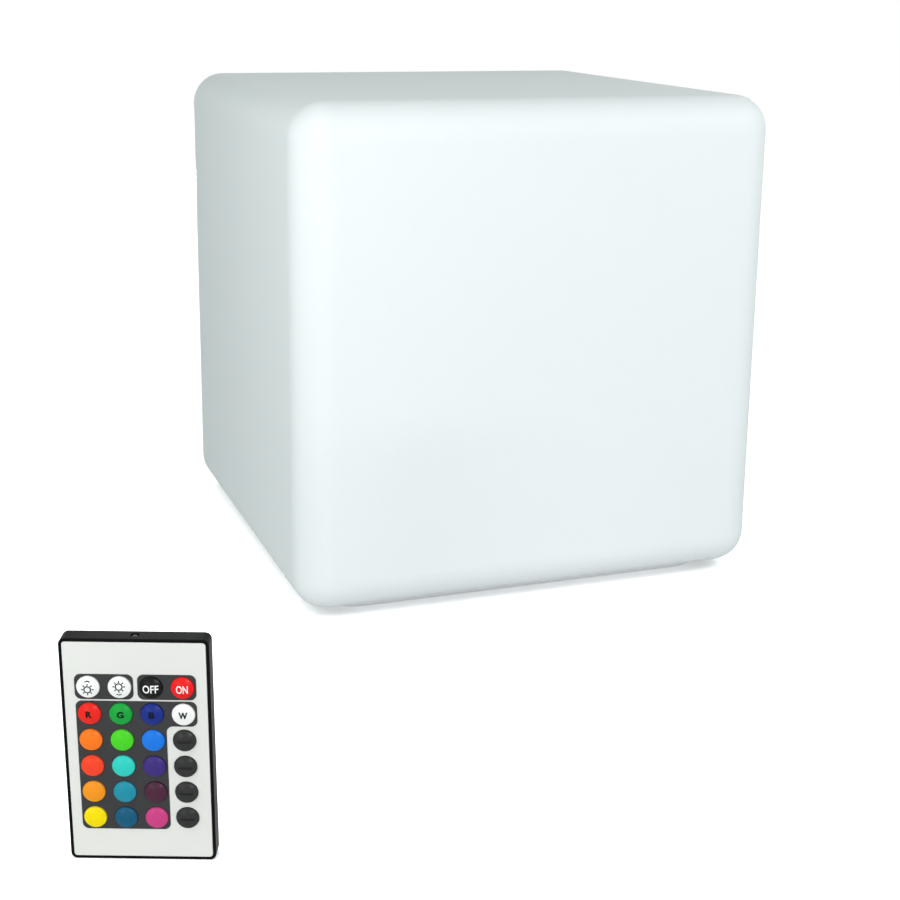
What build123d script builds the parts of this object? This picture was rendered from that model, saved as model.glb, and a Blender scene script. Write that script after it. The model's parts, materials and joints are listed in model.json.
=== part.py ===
# Rechargeable cube light with its key remote.
#
# Millimetres, +Z up. The origin is the middle of the cube's footprint on the surface that it stands on, and
# the cube's front looks along -Y. Its light module is held up against a seat in the base, and comes out from
# below. The remote stands by itself on its foot, in front of the cube's left corner, and faces the viewer.
from build123d import *

import os
from math import cos, hypot, radians, sin, tan

# ---- Cube shell ----
CUBE_EDGE = 250.0  # width of the base, and the height with the standing rim
SHELL_WALL = 3.0
SIDE_DRAFT = 0.4  # degrees that each side leans in towards the top
EDGE_RADIUS = 17.0
RIM_HEIGHT = 4.0
RIM_INSET = 18.0  # from the cube's side to the standing rim
RIM_CORNER = 20.0
RIM_SOFTENING = 1.5
SEAT_HEIGHT = 16.0  # the module's seat above the surface
BOSS_HEIGHT = 7.0
BOSS_RADIUS = 5.0
INSERT_RADIUS = 2.7
INSERT_LENGTH = 8.0

# ---- Clearances ----
CLEAR_MODULE = 1.5  # between the module and the shell, all round
CLEAR_SLIDE = 0.2  # around pieces that are pushed or pulled
CLEAR_SEATED = 0.05  # between two faces that meet and then part
CLEAR_THREAD = 0.05  # around a screw's shank
CLEAR_WIRE = 0.05
CLEAR_PARTS = 1.0  # between the electronics and what is round them

# ---- Light module ----
GASKET_THICKNESS = 1.5
FLANGE_THICKNESS = 4.0
FLANGE_REACH = 15.5  # how far the flange stands out past the cup
CUP_FLOOR = 3.0
CUP_WALL = 3.5
POST_RADIUS = 3.0
MODULE_SCREW_COUNT = 6
MODULE_SCREW_START = 30.0  # degrees
MODULE_SCREW_SHANK = 1.5
MODULE_SCREW_HEAD = 2.9
MODULE_SCREW_HEAD_HEIGHT = 2.2
MODULE_SCREW_LENGTH = 11.0
SMALL_SCREW_SHANK = 1.2
SMALL_SCREW_HEAD = 2.3
SMALL_SCREW_HEAD_HEIGHT = 1.8
SMALL_SCREW_LENGTH = 8.0
SMALL_BOSS_RADIUS = 3.5
BOSS_MERGE = 1.0  # how far a dome screw's boss goes into the cup's wall

# ---- Cells ----
CELL_RADIUS = 9.2
CELL_LENGTH = 65.2
CELL_ROUNDING = 0.8
CELL_GAP = 1.0
CELL_LIFT = 2.0  # from the cup's floor to the cells
CELL_FRONT = 6.8  # from the middle to the first cell
SADDLE_WIDTH = 3.0
SADDLE_SPACING = 22.0
CLAMP_WIDTH = 8.0
CLAMP_THICKNESS = 2.0
CLAMP_CORNER = 2.9
TAB_THICKNESS = 0.3
TAB_WIDTH = 7.0
TAB_SHARE = 0.9  # of the cell's radius, up to which the strips reach
LEAD_SHARE = 0.68  # of the cell's radius, where the leads leave the strips
STOP_HEIGHT = 10.0
STOP_THICKNESS = 2.0
WIRE_SPACE = 3.2  # for the two leads that pass the cells' ends

# ---- Control board and what stands on it ----
BOARD_WIDTH = 76.0
BOARD_DEPTH = 34.0
BOARD_THICKNESS = 1.6
BOARD_FRONT = 7.5  # from the middle to the board's nearer edge
BOARD_HEIGHT = 13.5  # from the cup's floor to the board
BOARD_HOLE_INSET = 4.0
BOARD_CORNER = 1.5
BUTTON_PLACE = 22.0  # button and socket stand this far left and right of the middle
HEADER_WIDTH = 8.0
HEADER_DEPTH = 6.0
HEADER_HEIGHT = 5.5
BATTERY_HEADER_X = -21.9
LED_HEADER_X = 12.0
CAPACITOR_RADIUS = 3.15
CAPACITOR_HEIGHT = 6.5
COIL_RADIUS = 4.0
COIL_HEIGHT = 4.5
CHIP_WIDTH = 10.0
CHIP_DEPTH = 6.2
CHIP_HEIGHT = 1.75
CHARGER_SIZE = 5.0
CHARGER_X = -13.0
TRANSISTOR_SIZE = 6.0
TRANSISTOR_PITCH = 8.0
TRANSISTOR_COUNT = 4
TRANSISTOR_HEIGHT = 2.3
ROW_INSET = 6.0  # from the board's far edge to the middle of the transistors and capacitors
COIL_X = -24.0
CAPACITOR_X = 24.0
INDICATOR_LED_HEIGHT = 2.0

# ---- Button, socket and charging light in the cup's floor ----
BUTTON_RADIUS = 6.5
BUTTON_PROUD = 1.0
BUTTON_COLLAR = 2.0  # its collar stands out this far inside the floor
BUTTON_COLLAR_THICKNESS = 1.2
BUTTON_STEM_RADIUS = 2.5
BUTTON_TRAVEL = 1.5
SWITCH_WIDTH = 8.5
SWITCH_HEIGHT = 7.0
PLUNGER_RADIUS = 1.75
PLUNGER_REACH = 2.5  # out of the switch
PLUNGER_DEPTH = 2.0  # into the switch
JACK_RADIUS = 5.5
JACK_BORE = 2.85
JACK_DEPTH = 9.5
JACK_PIN_RADIUS = 1.0
JACK_MOUTH = 4.5  # hole in the floor
BUNG_HEAD_RADIUS = 6.5
BUNG_HEAD_THICKNESS = 1.8
BUNG_LENGTH = 2.8
BUNG_TAB = 4.0
PIPE_RADIUS = 1.5
PIPE_HEAD_RADIUS = 2.5
PIPE_HEAD_THICKNESS = 0.6
PIPE_HEAD_SOFTENING = 0.4

# ---- LED board and dome ----
PLATE_THICKNESS = 2.0
LED_BOARD_THICKNESS = 1.6
LED_SIZE = 5.0
LED_HEIGHT = 1.6
LED_DISH_RADIUS = 2.0
LED_DISH_DEPTH = 0.3
LED_RING_START = 5.0  # degrees
LED_OUTER_COUNT = 12
LED_INNER_COUNT = 4
LED_INNER_RADIUS = 16.0
LED_EDGE = 9.0  # from the outer LEDs to the LED board's edge
LEAD_RADIUS = 0.6
LEAD_PITCH = 2.0
LEAD_COUNT = 4
BATTERY_LEAD_RADIUS = 0.7
BATTERY_LEAD_PITCH = 1.54
BATTERY_LEAD_BEND = 4.0
RECEIVER_WIDTH = 5.6
RECEIVER_DEPTH = 4.0
RECEIVER_HEIGHT = 7.0
RECEIVER_STAND = 2.0
RECEIVER_LENS = 1.8
RECEIVER_LEG = 0.5
RECEIVER_LEG_PITCH = 1.8
SEAL_THICKNESS = 1.0
DOME_FLANGE = 2.2
DOME_WALL = 2.0
DOME_RISE = 24.0
DOME_SCREW_COUNT = 4
DOME_SCREW_START = 45.0  # degrees

# ---- Remote ----
REMOTE_X = -231.3  # middle of its foot, at the face
REMOTE_Y = -307.4
REMOTE_TURN = 20.3  # degrees to the right, seen from above
REMOTE_WIDTH = 52.0
REMOTE_HEIGHT = 85.4
CASE_DEPTH = 7.5
CASE_CORNER = 2.3
CASE_WALL = 1.1
CASE_BACK = 1.0
CASE_SOFTENING = 0.35  # of the case's front edge
FACE_SOFTENING = 0.15
FACE_THICKNESS = 1.0
FACE_GAP = 0.1
CASE_POST = 1.8
CASE_POST_INSET = 3.5
KEY_COLUMNS = 4
KEY_ROWS = 6
KEY_PITCH_ACROSS = 10.9
KEY_PITCH_UP = 10.1
KEY_TOP_MARGIN = 17.9  # from the remote's top end to the first row
KEY_RADIUS = 4.03
KEY_GAP = 0.15
KEY_FLANGE = 4.6
KEY_FLANGE_THICKNESS = 0.5
KEY_WELL_GAP = 0.2
KEY_PROUD = 0.5  # straight side above the panels
KEY_CROWN = 0.9  # rise of the domed top
KEY_SHOULDER = 0.4  # rounding between the domed top and the side
KEY_TRAVEL = 0.5
KEY_TIP = 1.25
PANEL_MARGIN = 4.75  # from a key's middle to its panel's edge
PANEL_CORNER = 2.3
PANEL_THICKNESS = 0.15
PCB_THICKNESS = 0.8
PCB_WIDTH = 40.0
PCB_LOW = 5.0
PCB_TOP_GAP = 8.0
PCB_RAIL_WIDTH = 1.0
MAT_THICKNESS = 1.4
SNAP_DOME_RADIUS = 2.5
SNAP_DOME_HEIGHT = 0.25
COIN_RADIUS = 10.0
COIN_THICKNESS = 2.5
COIN_GAP = 0.1
COIN_ROUNDING = 0.3
TRAY_SIDE = 1.8
TRAY_HEAD = 3.4
TRAY_LIP = 0.3
TRAY_GAP = 0.1
TRAY_RAIL = 0.9
TRAY_RECESS = 0.2
TRAY_WINDOW = 9.0  # radius of the hole under the coin cell
LATCH_SLOT = 0.8
GRIP_WIDTH = 12.0  # cut-out in the case's back, where a fingernail reaches the tray
GRIP_REACH = 3.0
NAIL_GROOVE = 0.8
CONTACT_WIDTH = 3.0
CONTACT_LENGTH = 9.0
EMITTER_RADIUS = 1.5
EMITTER_HEIGHT = 3.75  # its axis above the remote's back
EMITTER_RECESS = 0.1
EMITTER_ROUNDING = 1.35

# ---- Derived: shell ----
SHELL_LOW = RIM_HEIGHT
RIM_WIDTH = CUBE_EDGE - 2 * RIM_INSET
LEAN = tan(radians(SIDE_DRAFT))

# ---- Derived: module, outwards from what it holds ----
CELL_PITCH = 2 * CELL_RADIUS + CELL_GAP
CELL_ROWS_Y = (CELL_FRONT + CELL_RADIUS, CELL_FRONT + CELL_RADIUS + CELL_PITCH)
CELL_BACK = CELL_ROWS_Y[1] + CELL_RADIUS
CELL_END = CELL_LENGTH / 2
BOARD_Y = -BOARD_FRONT - BOARD_DEPTH / 2
CELL_STOP = CELL_END + TAB_THICKNESS + CLEAR_WIRE
CLAMP_POST_Y = (CELL_FRONT - POST_RADIUS - CLEAR_PARTS / 2, CELL_BACK + POST_RADIUS + CLEAR_PARTS / 2)
CUP_INNER = CLEAR_PARTS + max(
    hypot(CELL_END + STOP_THICKNESS, CELL_BACK),
    hypot(BOARD_WIDTH / 2, BOARD_FRONT + BOARD_DEPTH),
    CLAMP_POST_Y[1] + POST_RADIUS,
    CELL_STOP + WIRE_SPACE + 2 * POST_RADIUS + 2 * SMALL_BOSS_RADIUS,
)
CUP_OUTER = CUP_INNER + CUP_WALL
FLANGE_RADIUS = CUP_OUTER + FLANGE_REACH
RECESS_RADIUS = FLANGE_RADIUS + CLEAR_MODULE
OPENING_RADIUS = CUP_OUTER + CLEAR_MODULE
SCREW_CIRCLE = (OPENING_RADIUS + FLANGE_RADIUS) / 2

GASKET_LOW = SEAT_HEIGHT - GASKET_THICKNESS
HOUSING_LOW = GASKET_LOW - FLANGE_THICKNESS
FLOOR_TOP = HOUSING_LOW + CUP_FLOOR
CELL_Z = FLOOR_TOP + CELL_LIFT + CELL_RADIUS
CLAMP_LOW = CELL_Z + CELL_RADIUS + CLEAR_SEATED
BOARD_LOW = FLOOR_TOP + BOARD_HEIGHT
BOARD_TOP = BOARD_LOW + BOARD_THICKNESS
HEADER_TOP = BOARD_TOP + HEADER_HEIGHT
PLATE_LOW = CLEAR_PARTS / 2 + max(
    CLAMP_LOW + CLAMP_THICKNESS + SMALL_SCREW_HEAD_HEIGHT,
    BOARD_TOP + max(HEADER_HEIGHT, CAPACITOR_HEIGHT, COIL_HEIGHT),
)
LED_BOARD_LOW = PLATE_LOW + PLATE_THICKNESS
LED_BOARD_TOP = LED_BOARD_LOW + LED_BOARD_THICKNESS
CUP_TOP = LED_BOARD_TOP + CLEAR_PARTS / 2
DOME_LOW = CUP_TOP + SEAL_THICKNESS
DOME_TOP = DOME_LOW + DOME_FLANGE + DOME_RISE

DOME_SCREW_CIRCLE = CUP_INNER - SMALL_BOSS_RADIUS + BOSS_MERGE
DOME_BASE = DOME_SCREW_CIRCLE - SMALL_BOSS_RADIUS - CLEAR_PARTS
PLATE_RADIUS = DOME_BASE + CLEAR_PARTS / 2
LED_BOARD_RADIUS = PLATE_RADIUS - CLEAR_PARTS
PLATE_POST_CIRCLE = DOME_BASE - DOME_WALL - SMALL_SCREW_HEAD - CLEAR_PARTS / 2
PLATE_POST_ANGLES = (20, 160, 270)
LED_OUTER_RADIUS = LED_BOARD_RADIUS - LED_EDGE

# ---- Derived: remote ----
FACE_LOW = CASE_DEPTH - FACE_THICKNESS
MAT_LOW = FACE_LOW - MAT_THICKNESS
PCB_BACK = MAT_LOW - PCB_THICKNESS
PCB_HIGH = REMOTE_HEIGHT - PCB_TOP_GAP
PANEL_TOP = CASE_DEPTH + PANEL_THICKNESS
KEY_FLANGE_TOP = FACE_LOW - CLEAR_SEATED
KEY_WELL = KEY_FLANGE + KEY_WELL_GAP
KEY_HOLE = KEY_RADIUS + KEY_GAP
TRAY_LOW = CASE_BACK + TRAY_GAP
TRAY_TOP = TRAY_LOW + TRAY_LIP + COIN_THICKNESS
TRAY_HALF = COIN_RADIUS + COIN_GAP + TRAY_SIDE
TRAY_COIN_V = TRAY_HEAD + COIN_RADIUS + COIN_GAP
TRAY_END = TRAY_COIN_V + COIN_RADIUS + COIN_GAP + TRAY_SIDE
FACE_WIDTH = REMOTE_WIDTH - 2 * CASE_WALL - 2 * FACE_GAP
FACE_HEIGHT = REMOTE_HEIGHT - 2 * CASE_WALL - 2 * FACE_GAP
CASE_INNER_CORNER = CASE_CORNER - CASE_WALL
REMOTE_MIDDLE = REMOTE_HEIGHT / 2

# The remote's own frame: x runs to the viewer's right, y up from its foot, z from its back out of its face.
turn = radians(REMOTE_TURN)
remote_face_out = Vector(-sin(turn), -cos(turn), 0)
remote_frame = Plane(
    origin=Vector(REMOTE_X, REMOTE_Y, 0) - remote_face_out * CASE_DEPTH,
    x_dir=(cos(turn), -sin(turn), 0),
    z_dir=remote_face_out,
)

MIDDLE = [(0, 0)]


# ---- Shapes that repeat ----
def round_slab(radius, low, high, places=MIDDLE, base=Plane.XY, mode=Mode.ADD):
    """A disc, or one at each place, from height low to height high above the base plane."""
    with BuildSketch(base.offset(low)) as outline:
        with Locations(*places):
            Circle(radius)
    extrude(outline.sketch, amount=high - low, mode=mode)


def square_slab(width, depth, low, high, places=MIDDLE, base=Plane.XY, corner=0.0, mode=Mode.ADD):
    """A rectangular slab, or one at each place, from height low to height high above the base plane."""
    with BuildSketch(base.offset(low)) as outline:
        with Locations(*places):
            if corner > 0:
                RectangleRounded(width, depth, corner)
            else:
                Rectangle(width, depth)
    extrude(outline.sketch, amount=high - low, mode=mode)


def ring_slab(outer, inner, low, high, mode=Mode.ADD):
    """A flat ring about Z."""
    with BuildSketch(Plane.XY.offset(low)) as outline:
        Circle(outer)
        Circle(inner, mode=Mode.SUBTRACT)
    extrude(outline.sketch, amount=high - low, mode=mode)


def on_circle(radius, count, start=0.0):
    """Points spaced evenly round a circle."""
    return [
        (radius * cos(radians(start + 360 * i / count)), radius * sin(radians(start + 360 * i / count)))
        for i in range(count)
    ]


def at_angles(radius, angles):
    """Points on a circle at the given angles."""
    return [(radius * cos(radians(angle)), radius * sin(radians(angle))) for angle in angles]


def leaning_block(width, low, high, radius):
    """A square block with rounded edges whose sides lean in towards its top."""
    with BuildPart() as block:
        with BuildSketch(Plane.XY.offset(low)):
            Rectangle(width, width)
        extrude(amount=high - low, taper=SIDE_DRAFT)
        fillet(block.edges(), radius=radius)
    return block.part


def small_screws(places, seat):
    """Small pan-head screws that point down, with their heads standing on the seat."""
    round_slab(SMALL_SCREW_HEAD, seat, seat + SMALL_SCREW_HEAD_HEIGHT, places)
    round_slab(SMALL_SCREW_SHANK, seat + SMALL_SCREW_HEAD_HEIGHT - SMALL_SCREW_LENGTH, seat, places)
    square_slab(
        2 * SMALL_SCREW_SHANK, SMALL_SCREW_SHANK / 2,
        seat + SMALL_SCREW_HEAD_HEIGHT / 2, seat + SMALL_SCREW_HEAD_HEIGHT, places, mode=Mode.SUBTRACT,
    )


def save(piece, name):
    """Names a finished piece and writes it."""
    piece.part.label = name
    export_step(piece.part, f"parts/{name}.step")


os.makedirs("parts", exist_ok=True)

# ---- Cube shell ----
shell_cavity = leaning_block(
    CUBE_EDGE - 2 * SHELL_WALL - 2 * LEAN * SHELL_WALL,
    SHELL_LOW + SHELL_WALL,
    CUBE_EDGE - SHELL_WALL,
    EDGE_RADIUS - SHELL_WALL,
)
module_screw_places = on_circle(SCREW_CIRCLE, MODULE_SCREW_COUNT, MODULE_SCREW_START)
boss_top = SEAT_HEIGHT + SHELL_WALL + BOSS_HEIGHT

with BuildPart() as cube_shell:
    add(leaning_block(CUBE_EDGE, SHELL_LOW, CUBE_EDGE, EDGE_RADIUS))
    square_slab(RIM_WIDTH, RIM_WIDTH, 0, SHELL_LOW + SHELL_WALL, corner=RIM_CORNER)
    rim_edge = cube_shell.faces().sort_by(Axis.Z)[0].edges()
    fillet(rim_edge, radius=RIM_SOFTENING)
    add(shell_cavity, mode=Mode.SUBTRACT)
    square_slab(
        RIM_WIDTH - 2 * SHELL_WALL, RIM_WIDTH - 2 * SHELL_WALL, SHELL_WALL, SHELL_LOW + 2 * SHELL_WALL,
        corner=RIM_CORNER - SHELL_WALL, mode=Mode.SUBTRACT,
    )
    round_slab(RECESS_RADIUS + SHELL_WALL, 0, SEAT_HEIGHT + SHELL_WALL)
    round_slab(RECESS_RADIUS, 0, SEAT_HEIGHT, mode=Mode.SUBTRACT)
    round_slab(BOSS_RADIUS, SEAT_HEIGHT, boss_top, module_screw_places)
    round_slab(OPENING_RADIUS, 0, SEAT_HEIGHT + SHELL_WALL, mode=Mode.SUBTRACT)
    round_slab(
        INSERT_RADIUS, SEAT_HEIGHT, SEAT_HEIGHT + INSERT_LENGTH, module_screw_places, mode=Mode.SUBTRACT,
    )
save(cube_shell, "cube_shell")

with BuildPart() as shell_inserts:
    round_slab(INSERT_RADIUS, SEAT_HEIGHT, SEAT_HEIGHT + INSERT_LENGTH, module_screw_places)
    round_slab(
        MODULE_SCREW_SHANK + CLEAR_THREAD, SEAT_HEIGHT, SEAT_HEIGHT + INSERT_LENGTH, module_screw_places,
        mode=Mode.SUBTRACT,
    )
save(shell_inserts, "shell_inserts")

# ---- Gasket and housing ----
with BuildPart() as module_gasket:
    ring_slab(FLANGE_RADIUS, OPENING_RADIUS, GASKET_LOW, SEAT_HEIGHT)
    round_slab(INSERT_RADIUS, GASKET_LOW, SEAT_HEIGHT, module_screw_places, mode=Mode.SUBTRACT)
save(module_gasket, "module_gasket")

button_at = [(-BUTTON_PLACE, BOARD_Y)]
jack_at = [(BUTTON_PLACE, BOARD_Y)]
indicator_at = [(0, BOARD_Y)]
plate_screw_places = at_angles(PLATE_POST_CIRCLE, PLATE_POST_ANGLES)
dome_screw_places = on_circle(DOME_SCREW_CIRCLE, DOME_SCREW_COUNT, DOME_SCREW_START)
clamp_post_places = [(0, y) for y in CLAMP_POST_Y]
board_hole_x = BOARD_WIDTH / 2 - BOARD_HOLE_INSET
board_hole_y = BOARD_DEPTH / 2 - BOARD_HOLE_INSET
board_screw_places = [
    (x, BOARD_Y + y) for x in (-board_hole_x, board_hole_x) for y in (-board_hole_y, board_hole_y)
]
pilot_radius = SMALL_SCREW_SHANK + CLEAR_THREAD
pilot_depth = SMALL_SCREW_LENGTH
saddle_y = (CELL_ROWS_Y[0] + CELL_ROWS_Y[1]) / 2
saddle_depth = CELL_BACK - CELL_FRONT

with BuildPart() as module_housing:
    round_slab(FLANGE_RADIUS, HOUSING_LOW, GASKET_LOW)
    flange_edge = module_housing.faces().sort_by(Axis.Z)[0].edges()
    chamfer(flange_edge, length=FLANGE_THICKNESS / 4)
    round_slab(CUP_OUTER, HOUSING_LOW, CUP_TOP)
    round_slab(CUP_INNER, FLOOR_TOP, CUP_TOP, mode=Mode.SUBTRACT)
    # Bosses of the dome's screws, on the cup's wall.
    round_slab(SMALL_BOSS_RADIUS, DOME_LOW - SMALL_SCREW_LENGTH, DOME_LOW, dome_screw_places)
    # Posts of the LED board, the clamp and the control board.
    round_slab(POST_RADIUS, FLOOR_TOP, PLATE_LOW, plate_screw_places)
    round_slab(POST_RADIUS, FLOOR_TOP, CLAMP_LOW, clamp_post_places)
    round_slab(POST_RADIUS, FLOOR_TOP, BOARD_LOW, board_screw_places)
    # Saddles and end stops of the cells.
    square_slab(
        SADDLE_WIDTH, saddle_depth, FLOOR_TOP, CELL_Z - CELL_RADIUS / 2,
        [(-SADDLE_SPACING, saddle_y), (SADDLE_SPACING, saddle_y)],
    )
    stop_x = CELL_STOP + STOP_THICKNESS / 2
    stop_places = [(-stop_x, saddle_y), (stop_x, saddle_y)]
    square_slab(STOP_THICKNESS, saddle_depth, FLOOR_TOP, FLOOR_TOP + STOP_HEIGHT, stop_places)
    with BuildSketch(Plane.YZ.offset(-CELL_END)) as cell_space:
        with Locations(*[(y, CELL_Z) for y in CELL_ROWS_Y]):
            Circle(CELL_RADIUS + CLEAR_SEATED)
    extrude(cell_space.sketch, amount=CELL_LENGTH, mode=Mode.SUBTRACT)
    # Screw holes.
    round_slab(
        MODULE_SCREW_SHANK + CLEAR_SLIDE, HOUSING_LOW, GASKET_LOW, module_screw_places, mode=Mode.SUBTRACT,
    )
    round_slab(
        MODULE_SCREW_HEAD + CLEAR_SLIDE, HOUSING_LOW, HOUSING_LOW + MODULE_SCREW_HEAD_HEIGHT,
        module_screw_places, mode=Mode.SUBTRACT,
    )
    round_slab(pilot_radius, DOME_LOW - pilot_depth, DOME_LOW, dome_screw_places, mode=Mode.SUBTRACT)
    round_slab(pilot_radius, PLATE_LOW - pilot_depth, PLATE_LOW, plate_screw_places, mode=Mode.SUBTRACT)
    round_slab(pilot_radius, CLAMP_LOW - pilot_depth, CLAMP_LOW, clamp_post_places, mode=Mode.SUBTRACT)
    round_slab(pilot_radius, BOARD_LOW - pilot_depth, BOARD_LOW, board_screw_places, mode=Mode.SUBTRACT)
    # Holes of the button, the socket and the charging light.
    round_slab(BUTTON_RADIUS + CLEAR_SLIDE, HOUSING_LOW, FLOOR_TOP, button_at, mode=Mode.SUBTRACT)
    round_slab(JACK_MOUTH, HOUSING_LOW, FLOOR_TOP, jack_at, mode=Mode.SUBTRACT)
    round_slab(PIPE_RADIUS + CLEAR_SEATED, HOUSING_LOW, FLOOR_TOP, indicator_at, mode=Mode.SUBTRACT)
save(module_housing, "module_housing")

screw_seat = HOUSING_LOW + MODULE_SCREW_HEAD_HEIGHT
with BuildPart() as module_screws:
    round_slab(MODULE_SCREW_HEAD, HOUSING_LOW, screw_seat, module_screw_places)
    round_slab(MODULE_SCREW_SHANK, screw_seat, screw_seat + MODULE_SCREW_LENGTH, module_screw_places)
    with BuildSketch(Plane.XY.offset(HOUSING_LOW)) as socket:
        with Locations(*module_screw_places):
            RegularPolygon(MODULE_SCREW_SHANK, 6)
    extrude(socket.sketch, amount=MODULE_SCREW_HEAD_HEIGHT / 2, mode=Mode.SUBTRACT)
save(module_screws, "module_screws")

# ---- Power button and its switch ----
collar_low = FLOOR_TOP + CLEAR_SEATED
collar_top = collar_low + BUTTON_COLLAR_THICKNESS
switch_low = BOARD_LOW - SWITCH_HEIGHT
plunger_low = switch_low - PLUNGER_REACH

with BuildPart() as power_button:
    round_slab(BUTTON_RADIUS, HOUSING_LOW - BUTTON_PROUD, collar_low, button_at)
    button_face = power_button.faces().sort_by(Axis.Z)[0].edges()
    fillet(button_face, radius=BUTTON_PROUD / 2)
    round_slab(BUTTON_RADIUS + BUTTON_COLLAR, collar_low, collar_top, button_at)
    round_slab(BUTTON_STEM_RADIUS, collar_top, plunger_low, button_at)
save(power_button, "power_button")

with BuildPart() as switch_plunger:
    round_slab(PLUNGER_RADIUS, plunger_low, switch_low + PLUNGER_DEPTH, button_at)
save(switch_plunger, "switch_plunger")

with BuildPart() as power_switch:
    square_slab(SWITCH_WIDTH, SWITCH_WIDTH, switch_low, BOARD_LOW, button_at)
    plunger_hole_top = switch_low + PLUNGER_DEPTH + BUTTON_TRAVEL + CLEAR_SLIDE
    round_slab(PLUNGER_RADIUS + CLEAR_SLIDE, switch_low, plunger_hole_top, button_at, mode=Mode.SUBTRACT)
save(power_switch, "power_switch")

# ---- Charging socket, its bung and the charging light ----
with BuildPart() as charge_jack:
    round_slab(JACK_RADIUS, FLOOR_TOP, BOARD_LOW, jack_at)
    round_slab(JACK_BORE, FLOOR_TOP, FLOOR_TOP + JACK_DEPTH, jack_at, mode=Mode.SUBTRACT)
save(charge_jack, "charge_jack")

with BuildPart() as jack_pin:
    round_slab(JACK_PIN_RADIUS, FLOOR_TOP + JACK_DEPTH / 8, FLOOR_TOP + JACK_DEPTH, jack_at)
    fillet(jack_pin.faces().sort_by(Axis.Z)[0].edges(), radius=JACK_PIN_RADIUS / 2)
save(jack_pin, "jack_pin")

bung_head_top = HOUSING_LOW - CLEAR_SEATED
bung_head_low = bung_head_top - BUNG_HEAD_THICKNESS
with BuildPart() as jack_bung:
    round_slab(BUNG_HEAD_RADIUS, bung_head_low, bung_head_top, jack_at)
    tab_at = [(BUTTON_PLACE + BUNG_HEAD_RADIUS, BOARD_Y)]
    square_slab(
        2 * BUNG_TAB, BUNG_HEAD_RADIUS, bung_head_low, bung_head_top, tab_at, corner=BUNG_HEAD_RADIUS / 4,
    )
    round_slab(JACK_MOUTH - CLEAR_SLIDE / 2, bung_head_top, bung_head_top + BUNG_LENGTH, jack_at)
save(jack_bung, "jack_bung")

with BuildPart() as charge_indicator:
    round_slab(PIPE_HEAD_RADIUS, HOUSING_LOW - PIPE_HEAD_THICKNESS, HOUSING_LOW, indicator_at)
    fillet(charge_indicator.faces().sort_by(Axis.Z)[0].edges(), radius=PIPE_HEAD_SOFTENING)
    round_slab(PIPE_RADIUS, HOUSING_LOW, BOARD_LOW - INDICATOR_LED_HEIGHT - CLEAR_SEATED, indicator_at)
save(charge_indicator, "charge_indicator")

# ---- Control board ----
with BuildPart() as control_board:
    square_slab(BOARD_WIDTH, BOARD_DEPTH, BOARD_LOW, BOARD_TOP, [(0, BOARD_Y)], corner=BOARD_CORNER)
    round_slab(pilot_radius + CLEAR_SLIDE, BOARD_LOW, BOARD_TOP, board_screw_places, mode=Mode.SUBTRACT)
save(control_board, "control_board")

header_y = -BOARD_FRONT - CLEAR_PARTS - HEADER_DEPTH / 2
far_row_y = -BOARD_FRONT - BOARD_DEPTH + ROW_INSET
with BuildPart() as board_components:
    header_places = [(BATTERY_HEADER_X, header_y), (LED_HEADER_X, header_y)]
    square_slab(HEADER_WIDTH, HEADER_DEPTH, BOARD_TOP, HEADER_TOP, header_places)
    square_slab(CHIP_WIDTH, CHIP_DEPTH, BOARD_TOP, BOARD_TOP + CHIP_HEIGHT, [(0, BOARD_Y)])
    square_slab(CHARGER_SIZE, CHARGER_SIZE, BOARD_TOP, BOARD_TOP + CHIP_HEIGHT, [(CHARGER_X, BOARD_Y)])
    round_slab(COIL_RADIUS, BOARD_TOP, BOARD_TOP + COIL_HEIGHT, [(COIL_X, BOARD_Y)])
    capacitor_places = [(CAPACITOR_X, BOARD_Y), (CAPACITOR_X, far_row_y)]
    round_slab(CAPACITOR_RADIUS, BOARD_TOP, BOARD_TOP + CAPACITOR_HEIGHT, capacitor_places)
    transistor_places = [
        (TRANSISTOR_PITCH * (i - (TRANSISTOR_COUNT - 1) / 2), far_row_y) for i in range(TRANSISTOR_COUNT)
    ]
    square_slab(TRANSISTOR_SIZE, TRANSISTOR_SIZE, BOARD_TOP, BOARD_TOP + TRANSISTOR_HEIGHT, transistor_places)
    round_slab(PIPE_RADIUS, BOARD_LOW - INDICATOR_LED_HEIGHT, BOARD_LOW, indicator_at)
save(board_components, "board_components")

# ---- Cells, their strips and their clamp ----
with BuildPart() as battery_cells:
    with BuildSketch(Plane.YZ.offset(-CELL_END)) as cell_outline:
        with Locations(*[(y, CELL_Z) for y in CELL_ROWS_Y]):
            Circle(CELL_RADIUS)
    extrude(cell_outline.sketch, amount=CELL_LENGTH)
    fillet(battery_cells.edges().filter_by(GeomType.CIRCLE), radius=CELL_ROUNDING)
save(battery_cells, "battery_cells")

strip_low = CELL_Z - TAB_WIDTH / 2
strip_high = CELL_Z + CELL_RADIUS * TAB_SHARE
strip_x = CELL_END + TAB_THICKNESS / 2
with BuildPart() as cell_tabs:
    square_slab(TAB_THICKNESS, TAB_WIDTH, strip_low, strip_high, [(-strip_x, y) for y in CELL_ROWS_Y])
    joining_width = CELL_PITCH + TAB_WIDTH
    square_slab(TAB_THICKNESS, joining_width, strip_low, strip_low + TAB_WIDTH, [(strip_x, saddle_y)])
save(cell_tabs, "cell_tabs")

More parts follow.
